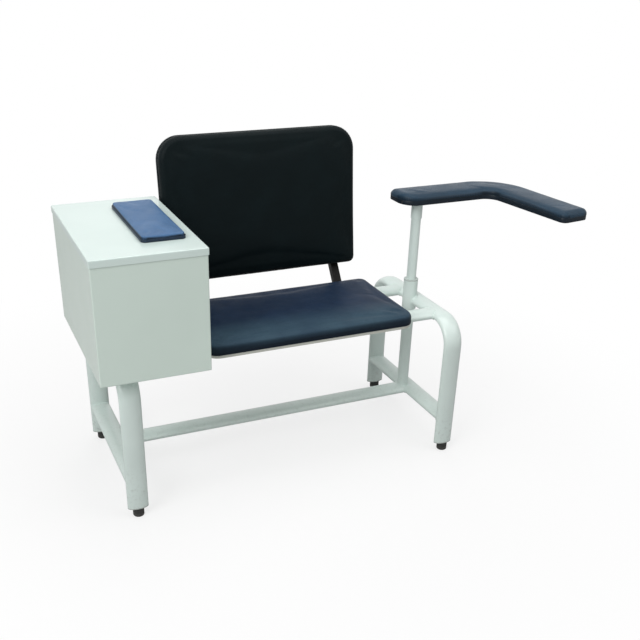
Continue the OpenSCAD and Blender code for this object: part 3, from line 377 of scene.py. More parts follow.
def plywood(name, base, dark=0.86):
    """Sealed birch plywood: long grain on the faces, thin plies that alternate on the edges"""
    # Real plies are about 1.5 mm thick
    ply = 1.6 * MM
    material, node, place = new_material(name, base)
    long = node("ShaderNodeMapping", {"Vector": place, "Scale": (0.09, 1, 1)})
    grain = node(NOISE, {"Vector": long, "Scale": 1 / (3.5 * MM), "Detail": 5, "Roughness": 0.6})
    streaks = node(RANGE, (grain, 0.35, 0.7, 0, 1))
    tone = node(MIX, {"Factor": streaks, "A": base, "B": shade(base, dark)}, **COLOURS)
    layers = node(MATH, (node(XYZ, (place,), "Z"), ply), operation="PINGPONG")
    facing = node(XYZ, (node("ShaderNodeNewGeometry", out="True Normal"),), "Z")
    edge = node(RANGE, (node(MATH, (facing,), operation="ABSOLUTE"), 0.3, 0.7, 1, 0))
    plies = node(RANGE, (layers, 0.3 * ply, 0.7 * ply, 0, 0.5))
    lines = node(MATH, (edge, plies), operation="MULTIPLY")
    return finished(material, 0.5, {
        "Base Color": node(MIX, {"Factor": lines, "A": tone, "B": shade(base, 0.72)}, **COLOURS),
        "Normal": node(BUMP, {"Height": grain, "Distance": 0.08 * MM, "Strength": 0.4}),
        "IOR": 1.5, "Coat Weight": 0.1, "Coat Roughness": 0.3,
    })


def satin_paint(name, base):
    """Satin stoving paint on square tube, thin in patches where the steel's brown shows"""
    material, node, place = new_material(name, base)
    thin = patches(node, place, 0.01, 0.5, 0.75, 0, 0.5, detail=4, roughness=0.65)
    return finished(material, 0.42, {
        "Base Color": node(MIX, {"Factor": thin, "A": base, "B": linear("#1F1A17")}, **COLOURS),
        "Normal": relief(node, place, 2 * MM, 0.08 * MM, 0.4),
        "IOR": 1.5, "Specular IOR Level": 0.15,
    })


FINISHES = {}


def make_finishes(scene):
    """Every finish of the chair, by the record's slot names"""
    up, paint = scene.chair_upholstery, scene.chair_paint
    # Painted highlight along the seat's front edge
    front_highlight = (up.front_highlight_colour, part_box("seat_cushion")[0].y, up.front_highlight_depth)
    # Painted shade on the pads' sides and rims
    side_shades = [(up.side_shade_colour, width * MM, blur * MM) for width, blur in ((3, 4), (2, 2), (3, 0.8))]
    FINISHES.update(
        frame_paint=powder_coat("powder_coated_steel", paint.frame_colour),
        cabinet_paint=enamel("gloss_enamel_cabinet", paint.cabinet_colour),
        lid_paint=enamel("gloss_enamel_lid", paint.lid_colour),
        bracket_paint=satin_paint("satin_stoving_paint", paint.bracket_colour),
        plug_plastic=moulded("moulded_polyethylene_plug", paint.plug_colour, 0.5),
        guide_plastic=moulded("moulded_natural_nylon", paint.bush_colour, 0.5),
        knob_plastic=moulded("moulded_phenolic_knob", paint.plastic_colour, 0.3),
        foot_rubber=foot_rubber("vulcanised_rubber", paint.rubber_colour),
        zinc_steel=zinc_plate("zinc_plated_steel", linear("#B9BDBD")),
        hinge_steel=zinc_plate("zinc_plated_hinge", linear("#C6C9C8")),
        seat_board=plywood("sealed_birch_plywood", paint.ply_colour),
        dark_board=plywood("black_stained_plywood", paint.dark_ply_colour, 0.7),
        seat_vinyl=vinyl("navy_vinyl_seat", up.seat_colour, up.grain, 1.3, 0.46, 0.05, side_shades[0], front_highlight),
        back_vinyl=vinyl("navy_vinyl_back", up.back_colour, up.grain, 1.3, 0.5, 0.07),
        arm_vinyl=vinyl("navy_vinyl_arm", up.arm_colour, up.grain, 1.3, 0.36, 0.12, side_shades[1]),
        lid_pad_vinyl=vinyl(
            "slate_vinyl_lid_pad", up.lid_pad_colour, up.grain, 1.15, 0.45, 0.22, side_shades[2]
        ),
    )


# Meshes


def link(name, data):
    piece = bpy.data.objects.new(name, data)
    bpy.context.scene.collection.objects.link(piece)
    return piece


def evaluated(piece):
    return piece.evaluated_get(bpy.context.evaluated_depsgraph_get())


def baked(piece):
    """Replaces a piece's mesh by the result of its modifiers"""
    mesh = bpy.data.meshes.new_from_object(evaluated(piece))
    piece.modifiers.clear()
    piece.data = mesh
    return piece


def vectors(values, key):
    flat = np.empty(len(values) * 3)
    values.foreach_get(key, flat)
    return flat.reshape(-1, 3)


def coordinates(mesh):
    return vectors(mesh.vertices, "co")


def normals_of(mesh):
    return vectors(mesh.vertex_normals, "vector")


def set_coordinates(mesh, points):
    mesh.vertices.foreach_set("co", np.ascontiguousarray(points, dtype=np.float32).ravel())
    mesh.update()


def smoothed(mesh, smooth=True):
    mesh.polygons.foreach_set("use_smooth", [smooth] * len(mesh.polygons))
    mesh.update()


def attribute(mesh, name, kind, values):
    """Gives each point of a mesh its own number or vector"""
    data = mesh.attributes.new(name, kind, "POINT").data
    data.foreach_set("value" if kind == "FLOAT" else "vector", np.ravel(values))


def merged(mesh):
    """A mesh being worked on, its doubles merged"""
    work = bmesh.new()
    work.from_mesh(mesh)
    bmesh.ops.remove_doubles(work, verts=work.verts, dist=1e-6)
    return work


def lofted(name, rings, tips=None, smooth=True):
    """Mesh through rings of equal length, with a tip at each end, or closed round where it has no tips"""
    n, k = len(rings[0]), len(rings)
    points = [tuple(p) for ring in rings for p in ring]
    around = [(m, (m + 1) % n) for m in range(n)]
    faces = []
    for i in range(k - 1 if tips else k):
        a, b = i * n, (i + 1) % k * n
        faces += [(a + m, a + q, b + q, b + m) for m, q in around]
    if tips:
        points += [tuple(p) for p in tips]
        last = (k - 1) * n
        faces += [face for m, q in around for face in ((k * n, q, m), (k * n + 1, last + m, last + q))]
    mesh = bpy.data.meshes.new(name)
    mesh.from_pydata(points, [], faces)
    smoothed(mesh, smooth)
    work = merged(mesh)
    bmesh.ops.recalc_face_normals(work, faces=work.faces)
    work.to_mesh(mesh)
    work.free()
    return mesh


def dressed(piece, finish, body):
    """Gives a finished piece its material and slot and lets it ride on a body"""
    piece.data.materials.clear()
    piece.data.materials.append(FINISHES[finish])
    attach(piece, body)
    return piece


def smoothstep(x, low, high):
    t = np.clip((x - low) / (high - low), 0, 1)
    return t * t * (3 - 2 * t)


def soft_noise(points, size, seed):
    shift = Vector((seed * 13.7, seed * 5.1, seed * 3.3))
    return np.array([noise.noise(Vector(p) / size + shift) for p in points])


# Cushions

# Height share at which a cushion's side stands out most
SIDE_LOW = 0.38
TUCK = 0.4 * MM
# How far in the rings of a cushion's top lie, from its rounded edge to its middle
TOP_SHARES = (0.06, 0.14, 0.24, 0.36, 0.5, 0.66, 0.82, 0.96)
# The cushions start a little smaller than their CAD solids, because they swell
SMALLER = 0.6 * MM
CLOTH = {
    "quality": 4, "mass": 0.3, "tension_stiffness": 30, "compression_stiffness": 30, "shear_stiffness": 10,
    "bending_stiffness": 4, "shrink_min": 0.012, "vertex_group_mass": "held", "use_pressure": True,
    "uniform_pressure_force": 4.0,
}
CLOTH_STEPS = 20
# The taut vinyl may not draw the foam in by more than a hair
DRAWN_IN = 0.7 * MM
# Axes along and out of a board that lies flat
FLAT = ((0, 1, 0), (0, 0, 1))


def rounded_ring(a, b, r_low, r_high, pinch=0.0, corner=12, along=40, across=26):
    """Points and outward normals round a rectangle of half sizes a and b, its sides drawn in by pinch"""
    corners = (
        (a - r_high, b - r_high, r_high, 0),
        (r_high - a, b - r_high, r_high, 90),
        (r_low - a, r_low - b, r_low, 180),
        (a - r_low, r_low - b, r_low, 270),
    )
    points, normals = [], []
    for k, (cx, cy, r, start) in enumerate(corners):
        ex, ey, er, _ = corners[(k + 1) % 4]
        for i in range(corner + 1):
            t = math.radians(start + 90 * i / corner)
            points.append((cx + r * math.cos(t), cy + r * math.sin(t)))
            normals.append((math.cos(t), math.sin(t)))
        out = np.array(normals[-1])
        p0 = np.array(points[-1])
        p1 = np.array((ex, ey)) + er * out
        steps = along if k % 2 == 0 else across
        for u in (i / steps for i in range(1, steps)):
            points.append(tuple(p0 + (p1 - p0) * u - out * pinch * math.sin(math.pi * u)))
            normals.append(tuple(out))
    return np.array(points), np.array(normals)


def edge_profile(rounding, tuck, steps=7):
    """Inset and height share of a cushion's side from its foot, tucked in a little, to its top"""
    rows = []
    for i in range(steps + 1):
        a = math.radians(90 * (1 - i / steps))
        rows.append((tuck * (1 - math.cos(a)), SIDE_LOW * (1 - math.sin(a))))
    for i in range(1, steps + 3):
        a = math.radians(90 * i / (steps + 2))
        rows.append((rounding * (1 - math.cos(a)), SIDE_LOW + (1 - SIDE_LOW) * math.sin(a)))
    return rows


def cushion_mesh(name, w, d, t, radii, crown, pinch, rounding):
    """Crowned closed form, lying on Z 0, whose sides pull in between its corners"""
    half = min(w, d) / 2
    rings = []
    for i, height in edge_profile(rounding, TUCK):
        ring, _ = rounded_ring(w / 2 - i, d / 2 - i, *(max(r - i, rounding / 4) for r in radii), pinch)
        rings.append(np.column_stack([ring, np.full(len(ring), t * height)]))
    for share in TOP_SHARES:
        i = rounding + (half - rounding) * share
        inner = [max(min(r, half) - i, (half - i) / 2) for r in radii]
        ring, _ = rounded_ring(w / 2 - i, d / 2 - i, *inner, pinch * (1 - share))
        u, v = 2 * ring[:, 0] / w, 2 * ring[:, 1] / d
        rings.append(np.column_stack([ring, t + crown * (1 - u**4) * (1 - v**4)]))
    return lofted(name, rings, ((0, 0, 0), (0, 0, t + crown)))


def inflate(piece, pinned, cap):
    """Swells a closed form by a cloth simulation under inner pressure; no point moves further than cap"""
    group = piece.vertex_groups.new(name="held")
    group.add([int(i) for i in np.nonzero(pinned)[0]], 1.0, "REPLACE")
    cloth = piece.modifiers.new("foam pressure", "CLOTH")
    for key, value in CLOTH.items():
        setattr(cloth.settings, key, value)
    cloth.settings.effector_weights.gravity = 0
    cloth.collision_settings.use_collision = False
    cloth.point_cache.frame_start = 1
    cloth.point_cache.frame_end = CLOTH_STEPS
    before, out = coordinates(piece.data), normals_of(piece.data)
    scene = bpy.context.scene
    for step in range(1, CLOTH_STEPS + 1):
        scene.frame_set(step)
    result = evaluated(piece)
    after = coordinates(result.to_mesh())
    result.to_mesh_clear()
    piece.modifiers.remove(cloth)
    scene.frame_set(1)
    move = after - before
    far = np.linalg.norm(move, axis=1)
    move *= (cap * np.tanh(far / cap) / np.maximum(far, 1e-9))[:, None]
    drawn = np.einsum("ij,ij->i", move, out)
    move -= out * np.minimum(drawn + DRAWN_IN, 0)[:, None]
    set_coordinates(piece.data, before + move)


def swollen(name, mesh, voxel, held_below, cap):
    """A closed form on an even grid, swelled with its foot held and made finer"""
    piece = link(name, mesh)
    grid = piece.modifiers.new("even grid", "REMESH")
    grid.mode = "VOXEL"
    grid.voxel_size = voxel
    baked(piece)
    inflate(piece, coordinates(piece.data)[:, 2] < held_below, cap)
    finer = piece.modifiers.new("finer", "SUBSURF")
    finer.levels = finer.render_levels = 1
    return baked(piece)


def covered(piece, finish, body, node_name, inset):
    """Finishes a padded piece that stands for a soft CAD solid; inset is its points' way from the outline"""
    smoothed(piece.data)
    attribute(piece.data, "inset", "FLOAT", inset)
    dressed(piece, finish, body)
    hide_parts(node_name)


class PadSpace:
    """Room of a soft CAD solid: its size and its axes across, along and out of its board"""

    def __init__(self, node_name, axes, radii, finish, body):
        self.node_name, self.radii, self.finish, self.body = node_name, radii, finish, body
        axes = np.array([Vector(axis) for axis in ((1, 0, 0), *axes)])
        points = coordinates(frame["nodes"][node_name].data) @ axes.T
        low, high = points.min(0), points.max(0)
        self.w, self.d, self.deep = (float(v) for v in high - low)
        base = axes.T @ np.array([(low[0] + high[0]) / 2, (low[1] + high[1]) / 2, low[2]])
        self.matrix = Matrix.Translation(base) @ Matrix(axes.T.tolist()).to_4x4()

    def corner(self, points, w, d):
        """Corner radius near each point, and how far each lies past the corner's centre both ways"""
        r = np.where(points[:, 1] < 0, *self.radii)
        return r, np.abs(points[:, 0]) - w / 2 + r, np.abs(points[:, 1]) - d / 2 + r

    def outline(self):
        return rounded_ring(self.w / 2, self.d / 2, *self.radii)


def corner_pleats(points, corner, t, depth, spacing):
    """Depth of the small gathers in the vinyl at the cushion's corners, on its side wall"""
    r, dx, dy = corner
    along = np.arctan2(dy, dx) * r
    span = math.pi / 2 * r
    wave = (0.5 + 0.5 * np.cos(2 * math.pi * (along - span / 2) / spacing)) ** 3
    ends = smoothstep(along, 0, 0.2 * span) * (1 - smoothstep(along, 0.8 * span, span))
    rise = 1 - smoothstep(points[:, 2] / t, 0.35, 0.98)
    return np.where((dx > 0) & (dy > 0), depth * wave * ends * rise, 0)


def pull_marks(points, w, d, t, depth, spacing):
    """Depth of the faint scallops where staples pull the vinyl down along the sides"""
    near_x = w / 2 - np.abs(points[:, 0]) < t * 0.5
    near_y = d / 2 - np.abs(points[:, 1]) < t * 0.5
    along = np.where(near_y, points[:, 0], points[:, 1])
    wave = (0.5 + 0.5 * np.cos(2 * math.pi * along / spacing)) ** 2
    rise = 1 - smoothstep(points[:, 2] / t, 0.1, 0.8)
    return np.where(near_x | near_y, depth * wave * rise, 0)


def cushion(space, crown, rounding, cap, seed):
    """One upholstered cushion over a soft CAD solid: formed, swollen, gathered and finished"""
    up = bpy.context.scene.chair_upholstery
    t, w, d = space.deep - crown, space.w - 2 * SMALLER, space.d - 2 * SMALLER
    name = space.node_name + "_cover"
    mesh = cushion_mesh(name, w, d, t, space.radii, crown - cap * 0.3, up.pinch, rounding)
    piece = swollen(name, mesh, up.voxel, t * 0.16, cap)
    points = coordinates(piece.data)
    inward = corner_pleats(points, space.corner(points, w, d), t, depth=0.9 * MM, spacing=9 * MM)
    inward += pull_marks(points, w, d, t, depth=0.3 * MM, spacing=26 * MM)
    inward += 0.5 * MM * soft_noise(points, 0.06, seed) * smoothstep(points[:, 2] / t, 0.5, 1)
    points -= normals_of(piece.data) * inward[:, None]
    points[:, 2] = np.maximum(points[:, 2], 0)
    set_coordinates(piece.data, points)
    r, dx, dy = space.corner(points, w, d)
    inset = r - np.hypot(np.maximum(dx, 0), np.maximum(dy, 0)) - np.minimum(np.maximum(dx, dy), 0)
    piece.data.transform(space.matrix)
    covered(piece, space.finish, space.body, space.node_name, inset)


# The swing arm's pad


def arm_line(s, arm, post):
    """Point and heading of the arm's centre line at distance s from its tail"""
    straight = arm.tail + arm.reach
    arc = arm.bend_radius * arm.turn
    if s <= straight:
        return post.x - arm.tail + s, post.y, 0.0
    r, rest = arm.bend_radius, max(0.0, s - straight - arc)
    a = min((s - straight) / r, arm.turn)
    x = post.x + arm.reach + r * math.sin(a) + rest * math.cos(a)
    return x, post.y - r * (1 - math.cos(a)) - rest * math.sin(a), -a


def arm_length(arm):
    return arm.tail + arm.reach + arm.bend_radius * arm.turn + arm.fore


def arm_edge(s, side, arm):
    """Distance from the centre line to the pad's edge, with round corners at both ends"""
    total, straight = arm_length(arm), arm.tail + arm.reach
    t = max(0.0, (s - straight) / (total - straight))
    full = (arm.width * (1 - t) + arm.tip_width * t) / 2
    if s < total / 2:
        r, e = (arm.tail_rear_radius if side > 0 else arm.tail_front_radius), s
    else:
        r, e = arm.tip_radius, total - s
    return full if e >= r else full - r + math.sqrt(max(0.0, r * r - (r - e) ** 2))


def arm_stations(arm, step):
    """Distances along the arm: even, and closer together at both round ends"""
    total, tail, tip = arm_length(arm), arm.tail_front_radius, arm.tip_radius
    start = [tail * (1 - math.cos(math.radians(a))) for a in range(0, 90, 6)]
    end = [total - tip * (1 - math.cos(math.radians(a))) for a in range(84, -1, -6)]
    count = int((total - tail - tip) / step)
    return start + [tail + (total - tail - tip) * i / count for i in range(count + 1)] + end


def arm_outline(arm, post):
    """The pad's outline seen from above, anticlockwise, with its outward normals"""
    sides = []
    for side in (-1, 1):
        row = []
        for s in arm_stations(arm, 6 * MM):
            x, y, a = arm_line(s, arm, post)
            h = arm_edge(s, side, arm)
            row.append((x - side * h * math.sin(a), y + side * h * math.cos(a)))
        sides.append(row)
    kept = sides[0][:1]
    for p in sides[0][1:] + sides[1][::-1]:
        if math.dist(p, kept[-1]) > 0.8 * MM:
            kept.append(p)
    points = np.array(kept)
    tangent = np.roll(points, -1, 0) - np.roll(points, 1, 0)
    normals = np.column_stack([tangent[:, 1], -tangent[:, 0]])
    return points, normals / np.linalg.norm(normals, axis=1)[:, None]


def arm_pad_mesh(name, arm, post, base_z, rounding):
    """Closed crowned form swept along the arm, its ends sloping down"""
    smaller, slope, foot_share = 0.3 * MM, 16 * MM, 0.55
    total = arm_length(arm)
    shares = [(1 - inset * 2 / arm.width, height) for inset, height in edge_profile(rounding, 1.4 * MM, 5)]
    shares += [(0.58, 1), (0.44, 1), (0.3, 1), (0.15, 1)]
    section = [(-x, h) for x, h in shares] + [(0, 1)] + shares[::-1]
    rings = []
    for s in arm_stations(arm, 8 * MM):
        x, y, a = arm_line(s, arm, post)
        e = min(s, total - s) / slope
        rise = min(1.0, e * (2 - min(e, 1.0)))
        ring = []
        for share, height in section:
            o = share * max(arm_edge(s, share, arm) - smaller, MM)
            side = (arm.thickness - smaller / 2) * height * (foot_share + (1 - foot_share) * rise)
            dome = arm.crown * max(0.0, 1 - share**4 * 1.6)
            ring.append((x - o * math.sin(a), y + o * math.cos(a), base_z + side + dome * rise))
        rings.append(ring)
    return lofted(name, rings, (np.mean(rings[0], 0), np.mean(rings[-1], 0)))


# Bands of vinyl round the boards' edges

BOARD_GAP = 0.4 * MM
BOARD_UNDER = 0.15 * MM


def band(name, outline, rows, matrix, finish, body, ragged=0.0, seed=1):
    """Closed thin band: rows of (inset from the outline, height), its inner edge cut a little ragged"""
    points, normals = outline
    wobble = np.zeros(len(points))
    if ragged:
        wobble = ragged * soft_noise(np.column_stack([points, wobble]), 0.035, seed)
    rings = []
    for inset, height in rows:
        share = smoothstep(np.array(inset), 8 * MM, 16 * MM)
        at = points - normals * (inset + wobble * share)[:, None]
        rings.append(np.column_stack([at, np.full(len(at), height)]))
    mesh = lofted(name, rings)
    mesh.transform(matrix)
    dressed(link(name, mesh), finish, body)


def first_rows(board_inset, wrap, climb):
    """A wrap's start between cushion and board, and the insets of its inner and outer face"""
    inner = board_inset - BOARD_GAP
    out = inner - wrap
    return inner, out, [(inner, climb), (inner - wrap * 0.5, climb + 0.5 * MM), (out, climb)]


def band_rows(board_inset, board_t, wrap, margin, climb):
    """Rows of a wrap: up the outside of a board's edge and round onto its far side"""
    inner, out, rows = first_rows(board_inset, wrap, climb)
    low = -board_t - BOARD_UNDER
    r = 2.2 * MM
    rows.append((out, low - wrap + r))
    for a in (math.radians(angle) for angle in (22, 45, 68, 90)):
        rows.append((out + r * (1 - math.cos(a)), low - wrap + r * (1 - math.sin(a))))
    rows += [(margin * 0.6, low - wrap), (margin, low - wrap), (margin + wrap / 2, low - wrap / 2)]
    return rows + [(margin, low), (margin * 0.6, low), (inner + 0.8 * MM, low), (inner, low + 0.8 * MM)]


def edge_rows(board_inset, drop, wrap, climb):
    """Rows of a wrap that ends on a board's edge, at drop below the board's top"""
    inner, out, rows = first_rows(board_inset, wrap, climb)
    rows += [(out, 1.2 * MM - drop), (out + 0.3 * MM, 0.3 * MM - drop)]
    return rows + [(inner - 0.2 * MM, -drop), (inner, 0.4 * MM - drop)]


# Geometry node trees


def new_tree(name, **sockets):
    """A tree, what adds a node to it, and its inputs: numbers with their defaults, or kinds of data"""
    tree = bpy.data.node_groups.new(name, "GeometryNodeTree")
    for label, value in {"Geometry": "Geometry", **sockets}.items():
        kind = {float: "Float", int: "Int"}.get(type(value), value)
        socket = tree.interface.new_socket(label, in_out="INPUT", socket_type="NodeSocket" + kind)
        if kind != value:
            socket.default_value = value
    tree.interface.new_socket("Geometry", in_out="OUTPUT", socket_type="NodeSocketGeometry")
    return tree, partial(add, tree), add(tree, "NodeGroupInput").node.outputs


def finish_tree(tree, geometry, material):
    plain = add(tree, "GeometryNodeRealizeInstances", (geometry,))
    painted = add(tree, "GeometryNodeSetMaterial", {"Geometry": plain, "Material": material})
    add(tree, "NodeGroupOutput", (painted,))
    return tree


def smooth_tree():
    """Joins a CAD mesh's loose triangles and shades it smooth except at its real edges"""
    tree, node, group = new_tree("smooth_by_angle", Angle=math.radians(32))
    joined = node("GeometryNodeMergeByDistance", {"Geometry": group["Geometry"], "Distance": 1e-6})
    soft = node(SMOOTH_SHADE, {"Geometry": joined, "Shade Smooth": True})
    angle = node("GeometryNodeInputMeshEdgeAngle")
    gentle = node("FunctionNodeCompare", (angle, group["Angle"]), data_type="FLOAT", operation="LESS_THAN")
    edged = node(SMOOTH_SHADE, {"Geometry": soft, "Shade Smooth": gentle}, domain="EDGE")
    node("NodeGroupOutput", (edged,))
    return tree


def weld_tree():
    """Overlapping ripples along a line, like a weld made in small steps"""
    tree, node, group = new_tree("weld_bead", Pitch=0.0022, Size=0.003, Seed=1, Material="Material")
    line = node("GeometryNodeMeshToCurve", {"Mesh": group["Geometry"]})
    even = node("GeometryNodeResampleCurve", {"Curve": line, "Length": group["Pitch"]}, mode="LENGTH")
    ball = node("GeometryNodeMeshUVSphere", {"Segments": 10, "Rings": 6, "Radius": 1.0})
    soft = node(SMOOTH_SHADE, {"Geometry": ball})
    turn = node(ALIGN, {"Vector": node("GeometryNodeInputTangent")}, axis="X")
    uneven = node(RANDOM, {"Min": 0.88, "Max": 1.12, "Seed": group["Seed"]}, "Value", data_type="FLOAT")
    size = node(MATH, (group["Size"], uneven), operation="MULTIPLY")
    share = node(ATTRIBUTE, {"Name": "share"}, data_type="FLOAT")
    size = node(MATH, (size, share), operation="MULTIPLY")
    thin = node(MATH, (size, 0.72), operation="MULTIPLY")
    scale = node("ShaderNodeCombineXYZ", (thin, size, size))
    copies = {"Points": even, "Instance": soft, "Rotation": turn, "Scale": scale}
    return finish_tree(tree, node("GeometryNodeInstanceOnPoints", copies), group["Material"])


def scatter_tree(name, low, high, on_line=False):
    """Copies of a piece that look along their points' aim, each rolled at random from low to high.

    They stand on the points, or at an even pitch on a line and lie along it
    """
    sockets = {"Piece": "Object", "Low": low, "High": high, "Seed": 1, "Material": "Material"}
    if on_line:
        sockets["Pitch"] = 0.024
    tree, node, group = new_tree(name, **sockets)
    places = group["Geometry"]
    turn = node(ALIGN, {"Vector": node(ATTRIBUTE, {"Name": "aim"}, data_type="FLOAT_VECTOR")}, axis="Z")
    if on_line:
        line = node("GeometryNodeMeshToCurve", {"Mesh": places})
        places = node("GeometryNodeResampleCurve", {"Curve": line, "Length": group["Pitch"]}, mode="LENGTH")
        along = {"Rotation": turn, "Vector": node("GeometryNodeInputTangent")}
        turn = node(ALIGN, along, axis="X", pivot_axis="Z")
    span = {"Min": group["Low"], "Max": group["High"], "Seed": group["Seed"]}
    angle = node(RANDOM, span, "Value", data_type="FLOAT")
    roll = node("FunctionNodeAxisAngleToRotation", {"Axis": (0, 0, 1), "Angle": angle})
    rolled = {"Rotation": turn, "Rotate By": roll}
    turn = node("FunctionNodeRotateRotation", rolled, rotation_space="LOCAL")
    one = node("GeometryNodeObjectInfo", {"Object": group["Piece"], "As Instance": True}, "Geometry")
    copies = {"Points": places, "Instance": one, "Rotation": turn}
    return finish_tree(tree, node("GeometryNodeInstanceOnPoints", copies), group["Material"])


def grown(name, mesh, tree, finish, body, **values):
    """Runs a tree on a mesh, keeps the result as a plain mesh and finishes it"""
    values["material"] = FINISHES[finish]
    start = link(name + "_seed", mesh)
    modifier = start.modifiers.new(name, "NODES")
    modifier.node_group = tree
    for item in tree.interface.items_tree:
        if item.in_out == "INPUT" and item.name.lower() in values:
            modifier[item.identifier] = values[item.name.lower()]
    made = bpy.data.meshes.new_from_object(evaluated(start))
    bpy.data.objects.remove(start)
    return dressed(link(name, made), finish, body)


def line_mesh(name, lines):
    """Polylines as one mesh: each is (points, share of the full size at each point, closed)"""
    points, edges, shares = [], [], []
    for row, share, closed in lines:
        start, n = len(points), len(row)
        points += [tuple(p) for p in row]
        shares += [float(s) for s in np.broadcast_to(share, n)]
        edges += [(start + i, start + (i + 1) % n) for i in range(n if closed else n - 1)]
    mesh = bpy.data.meshes.new(name)
    mesh.from_pydata(points, edges, [])
    attribute(mesh, "share", "FLOAT", shares)
    return mesh


# Turned and stamped parts


def turned(name, rings, sides=48):
    """Closed solid turned about Z: rings of (radius, height), where a radius may depend on the angle"""
    angles = [math.tau * i / sides for i in range(sides)]
    rows = []
    for radius, z in rings:
        radii = [radius(a) if callable(radius) else radius for a in angles]
        rows.append([(r * math.cos(a), r * math.sin(a), z) for r, a in zip(radii, angles)])
    return lofted(name, rows, ((0, 0, rings[0][1]), (0, 0, rings[-1][1])))


def cross_radius(half_width, reach):
    """Outline of a cross recess"""

    def at(angle):
        a = angle % (math.pi / 2)
        a = min(a, math.pi / 2 - a)
        return min(reach / math.cos(a), half_width / max(math.sin(a), 1e-6))

    return at


def pan_head(name, radius, height, shank_radius, shank):
    """Cross-recessed pan-head screw: its head's seat on Z 0 and its shank below"""
    recess = 0.52 * radius
    rings = [(shank_radius * 0.6, -shank), (shank_radius, -shank + shank_radius * 0.5), (shank_radius, 0)]
    rings += [(radius * 0.97, 0), (radius, height * 0.12), (radius, height * 0.36)]
    for t in (math.radians(a) for a in (20, 40, 60, 75)):
        rings.append((radius * (0.62 + 0.38 * math.cos(t)), height * (0.36 + 0.64 * math.sin(t))))
    for width, reach, level in ((0.24, 1, 1), (0.2, 0.9, 0.96), (0.14, 0.45, 0.35)):
        rings.append((cross_radius(width * recess, reach * recess), height * level))
    return turned(name, rings)


def hex_head(name, radius, height, shank_radius, shank):
    """Hexagon-head bolt with a chamfered top, over a plain washer"""
    flats = radius * 1.05 * math.sqrt(3)
    washer, thin = flats * 0.78, 1.6 * MM

    def full(angle):
        return flats / 2 / math.cos((angle + math.pi / 6) % (math.pi / 3) - math.pi / 6)

    rings = [(shank_radius * 0.7, -shank), (shank_radius, -shank + shank_radius * 0.5), (shank_radius, 0)]
    rings += [(washer * 0.97, 0), (washer, 0.3 * MM), (washer, thin - 0.3 * MM), (washer * 0.97, thin)]
    rings += [(full, thin), (full, height * 0.86)]
    rings += [(lambda a: min(full(a), flats * 0.5), height), (flats * 0.3, height)]
    return turned(name, rings)


def rivet_head(name, radius, height, shank_radius, shank):
    """Domed rivet head on its shank"""
    rings = [(shank_radius * 0.8, -shank), (shank_radius, 0), (radius, 0), (radius, height * 0.2)]
    for t in (math.radians(a) for a in (30, 55, 75)):
        rings.append((radius * math.cos(t), height * (0.2 + 0.8 * math.sin(t))))
    return turned(name, rings, 24)


def staple_mesh(name, crown):
    """Flat-wire staple, its crown along X on Z 0 and its two leg wires down"""
    wide, thick, leg = 0.6 * MM, 0.5 * MM, 3 * MM
    half = crown / 2
    path = [(-half, -leg), (-half, -0.4 * MM), (-half + 0.5 * MM, 0), (0, 0.08 * MM)]
    path += [(-x, z) for x, z in reversed(path[:-1])]
    rings = []
    for i, (x, z) in enumerate(path):
        a, b = path[max(i - 1, 0)], path[min(i + 1, len(path) - 1)]
        t = math.atan2(b[1] - a[1], b[0] - a[0])
        nx, nz = -math.sin(t) * thick / 2, math.cos(t) * thick / 2
        sides = ((1, -wide), (1, wide), (-1, wide), (-1, -wide))
        rings.append([(x + k * nx, y, z + k * nz) for k, y in sides])
    return lofted(name, rings, (np.mean(rings[0], 0), np.mean(rings[-1], 0)), smooth=False)


def staples(name, outline, inset, under, matrix, body, seed):
    """A row of staples inside an outline on a board's far side, under the wrap"""
    hardware = bpy.context.scene.chair_hardware
    points, normals = outline
    rows = [matrix @ Vector((x, y, under)) for x, y in points - normals * inset]
    line = line_mesh(name, [(rows, 1, True)])
    attribute(line, "aim", "FLOAT_VECTOR", [-(matrix.to_3x3() @ Vector((0, 0, 1)))] * len(rows))
    one = link(name + "_one", staple_mesh(name + "_one", hardware.staple_crown))
    tree = scatter_tree("staples", -0.3, 0.3, on_line=True)
    grown(name, line, tree, "zinc_steel", body, piece=one, pitch=hardware.staple_pitch, seed=seed)
    bpy.data.objects.remove(one)


def islands(node_name):
    """Point sets of a CAD node's separate solids"""
    work = merged(frame["nodes"][node_name].data)
    seen, found = set(), []
    for start in work.verts:
        if start in seen:
            continue
        stack, group = [start], []
        seen.add(start)
        while stack:
            v = stack.pop()
            group.append(v.co.copy())
            for other in (e.other_vert(v) for e in v.link_edges):
                if other not in seen:
                    seen.add(other)
                    stack.append(other)
        found.append(np.array(group))
    work.free()
    return found


def fastener_places(node_name):
    """Of each fastener of a CAD node: the seat of its head, where its head looks, and its shape's sizes"""
    places = []
    for points in islands(node_name):
        centre = points.mean(0)
        _, _, axes = np.linalg.svd(points - centre, full_matrices=False)
        found = []
        for axis in axes:
            along = (points - centre) @ axis
            off = points - centre - np.outer(along, axis)
            shift = (off.max(0) + off.min(0)) / 2
            reach = np.linalg.norm(off - shift, axis=1)
            found.append((len(np.unique(np.round(reach * 1e4))), axis, along, centre + shift, reach))
        # The true axis has the roundest section: few different distances from it
        _, axis, along, centre, reach = min(found, key=lambda one: one[0])
        head = along[reach > reach.max() * 0.9]
        if abs(head.max() - along.max()) > abs(head.min() - along.min()):
            axis, along, head = -axis, -along, -head
        sizes = reach.max(), head.max() - head.min(), reach[along < head.min() - 1e-5].max()
        shank = head.min() - along.min()
        places.append((centre + axis * head.min(), axis, [float(v) for v in (*sizes, shank)]))
    return places


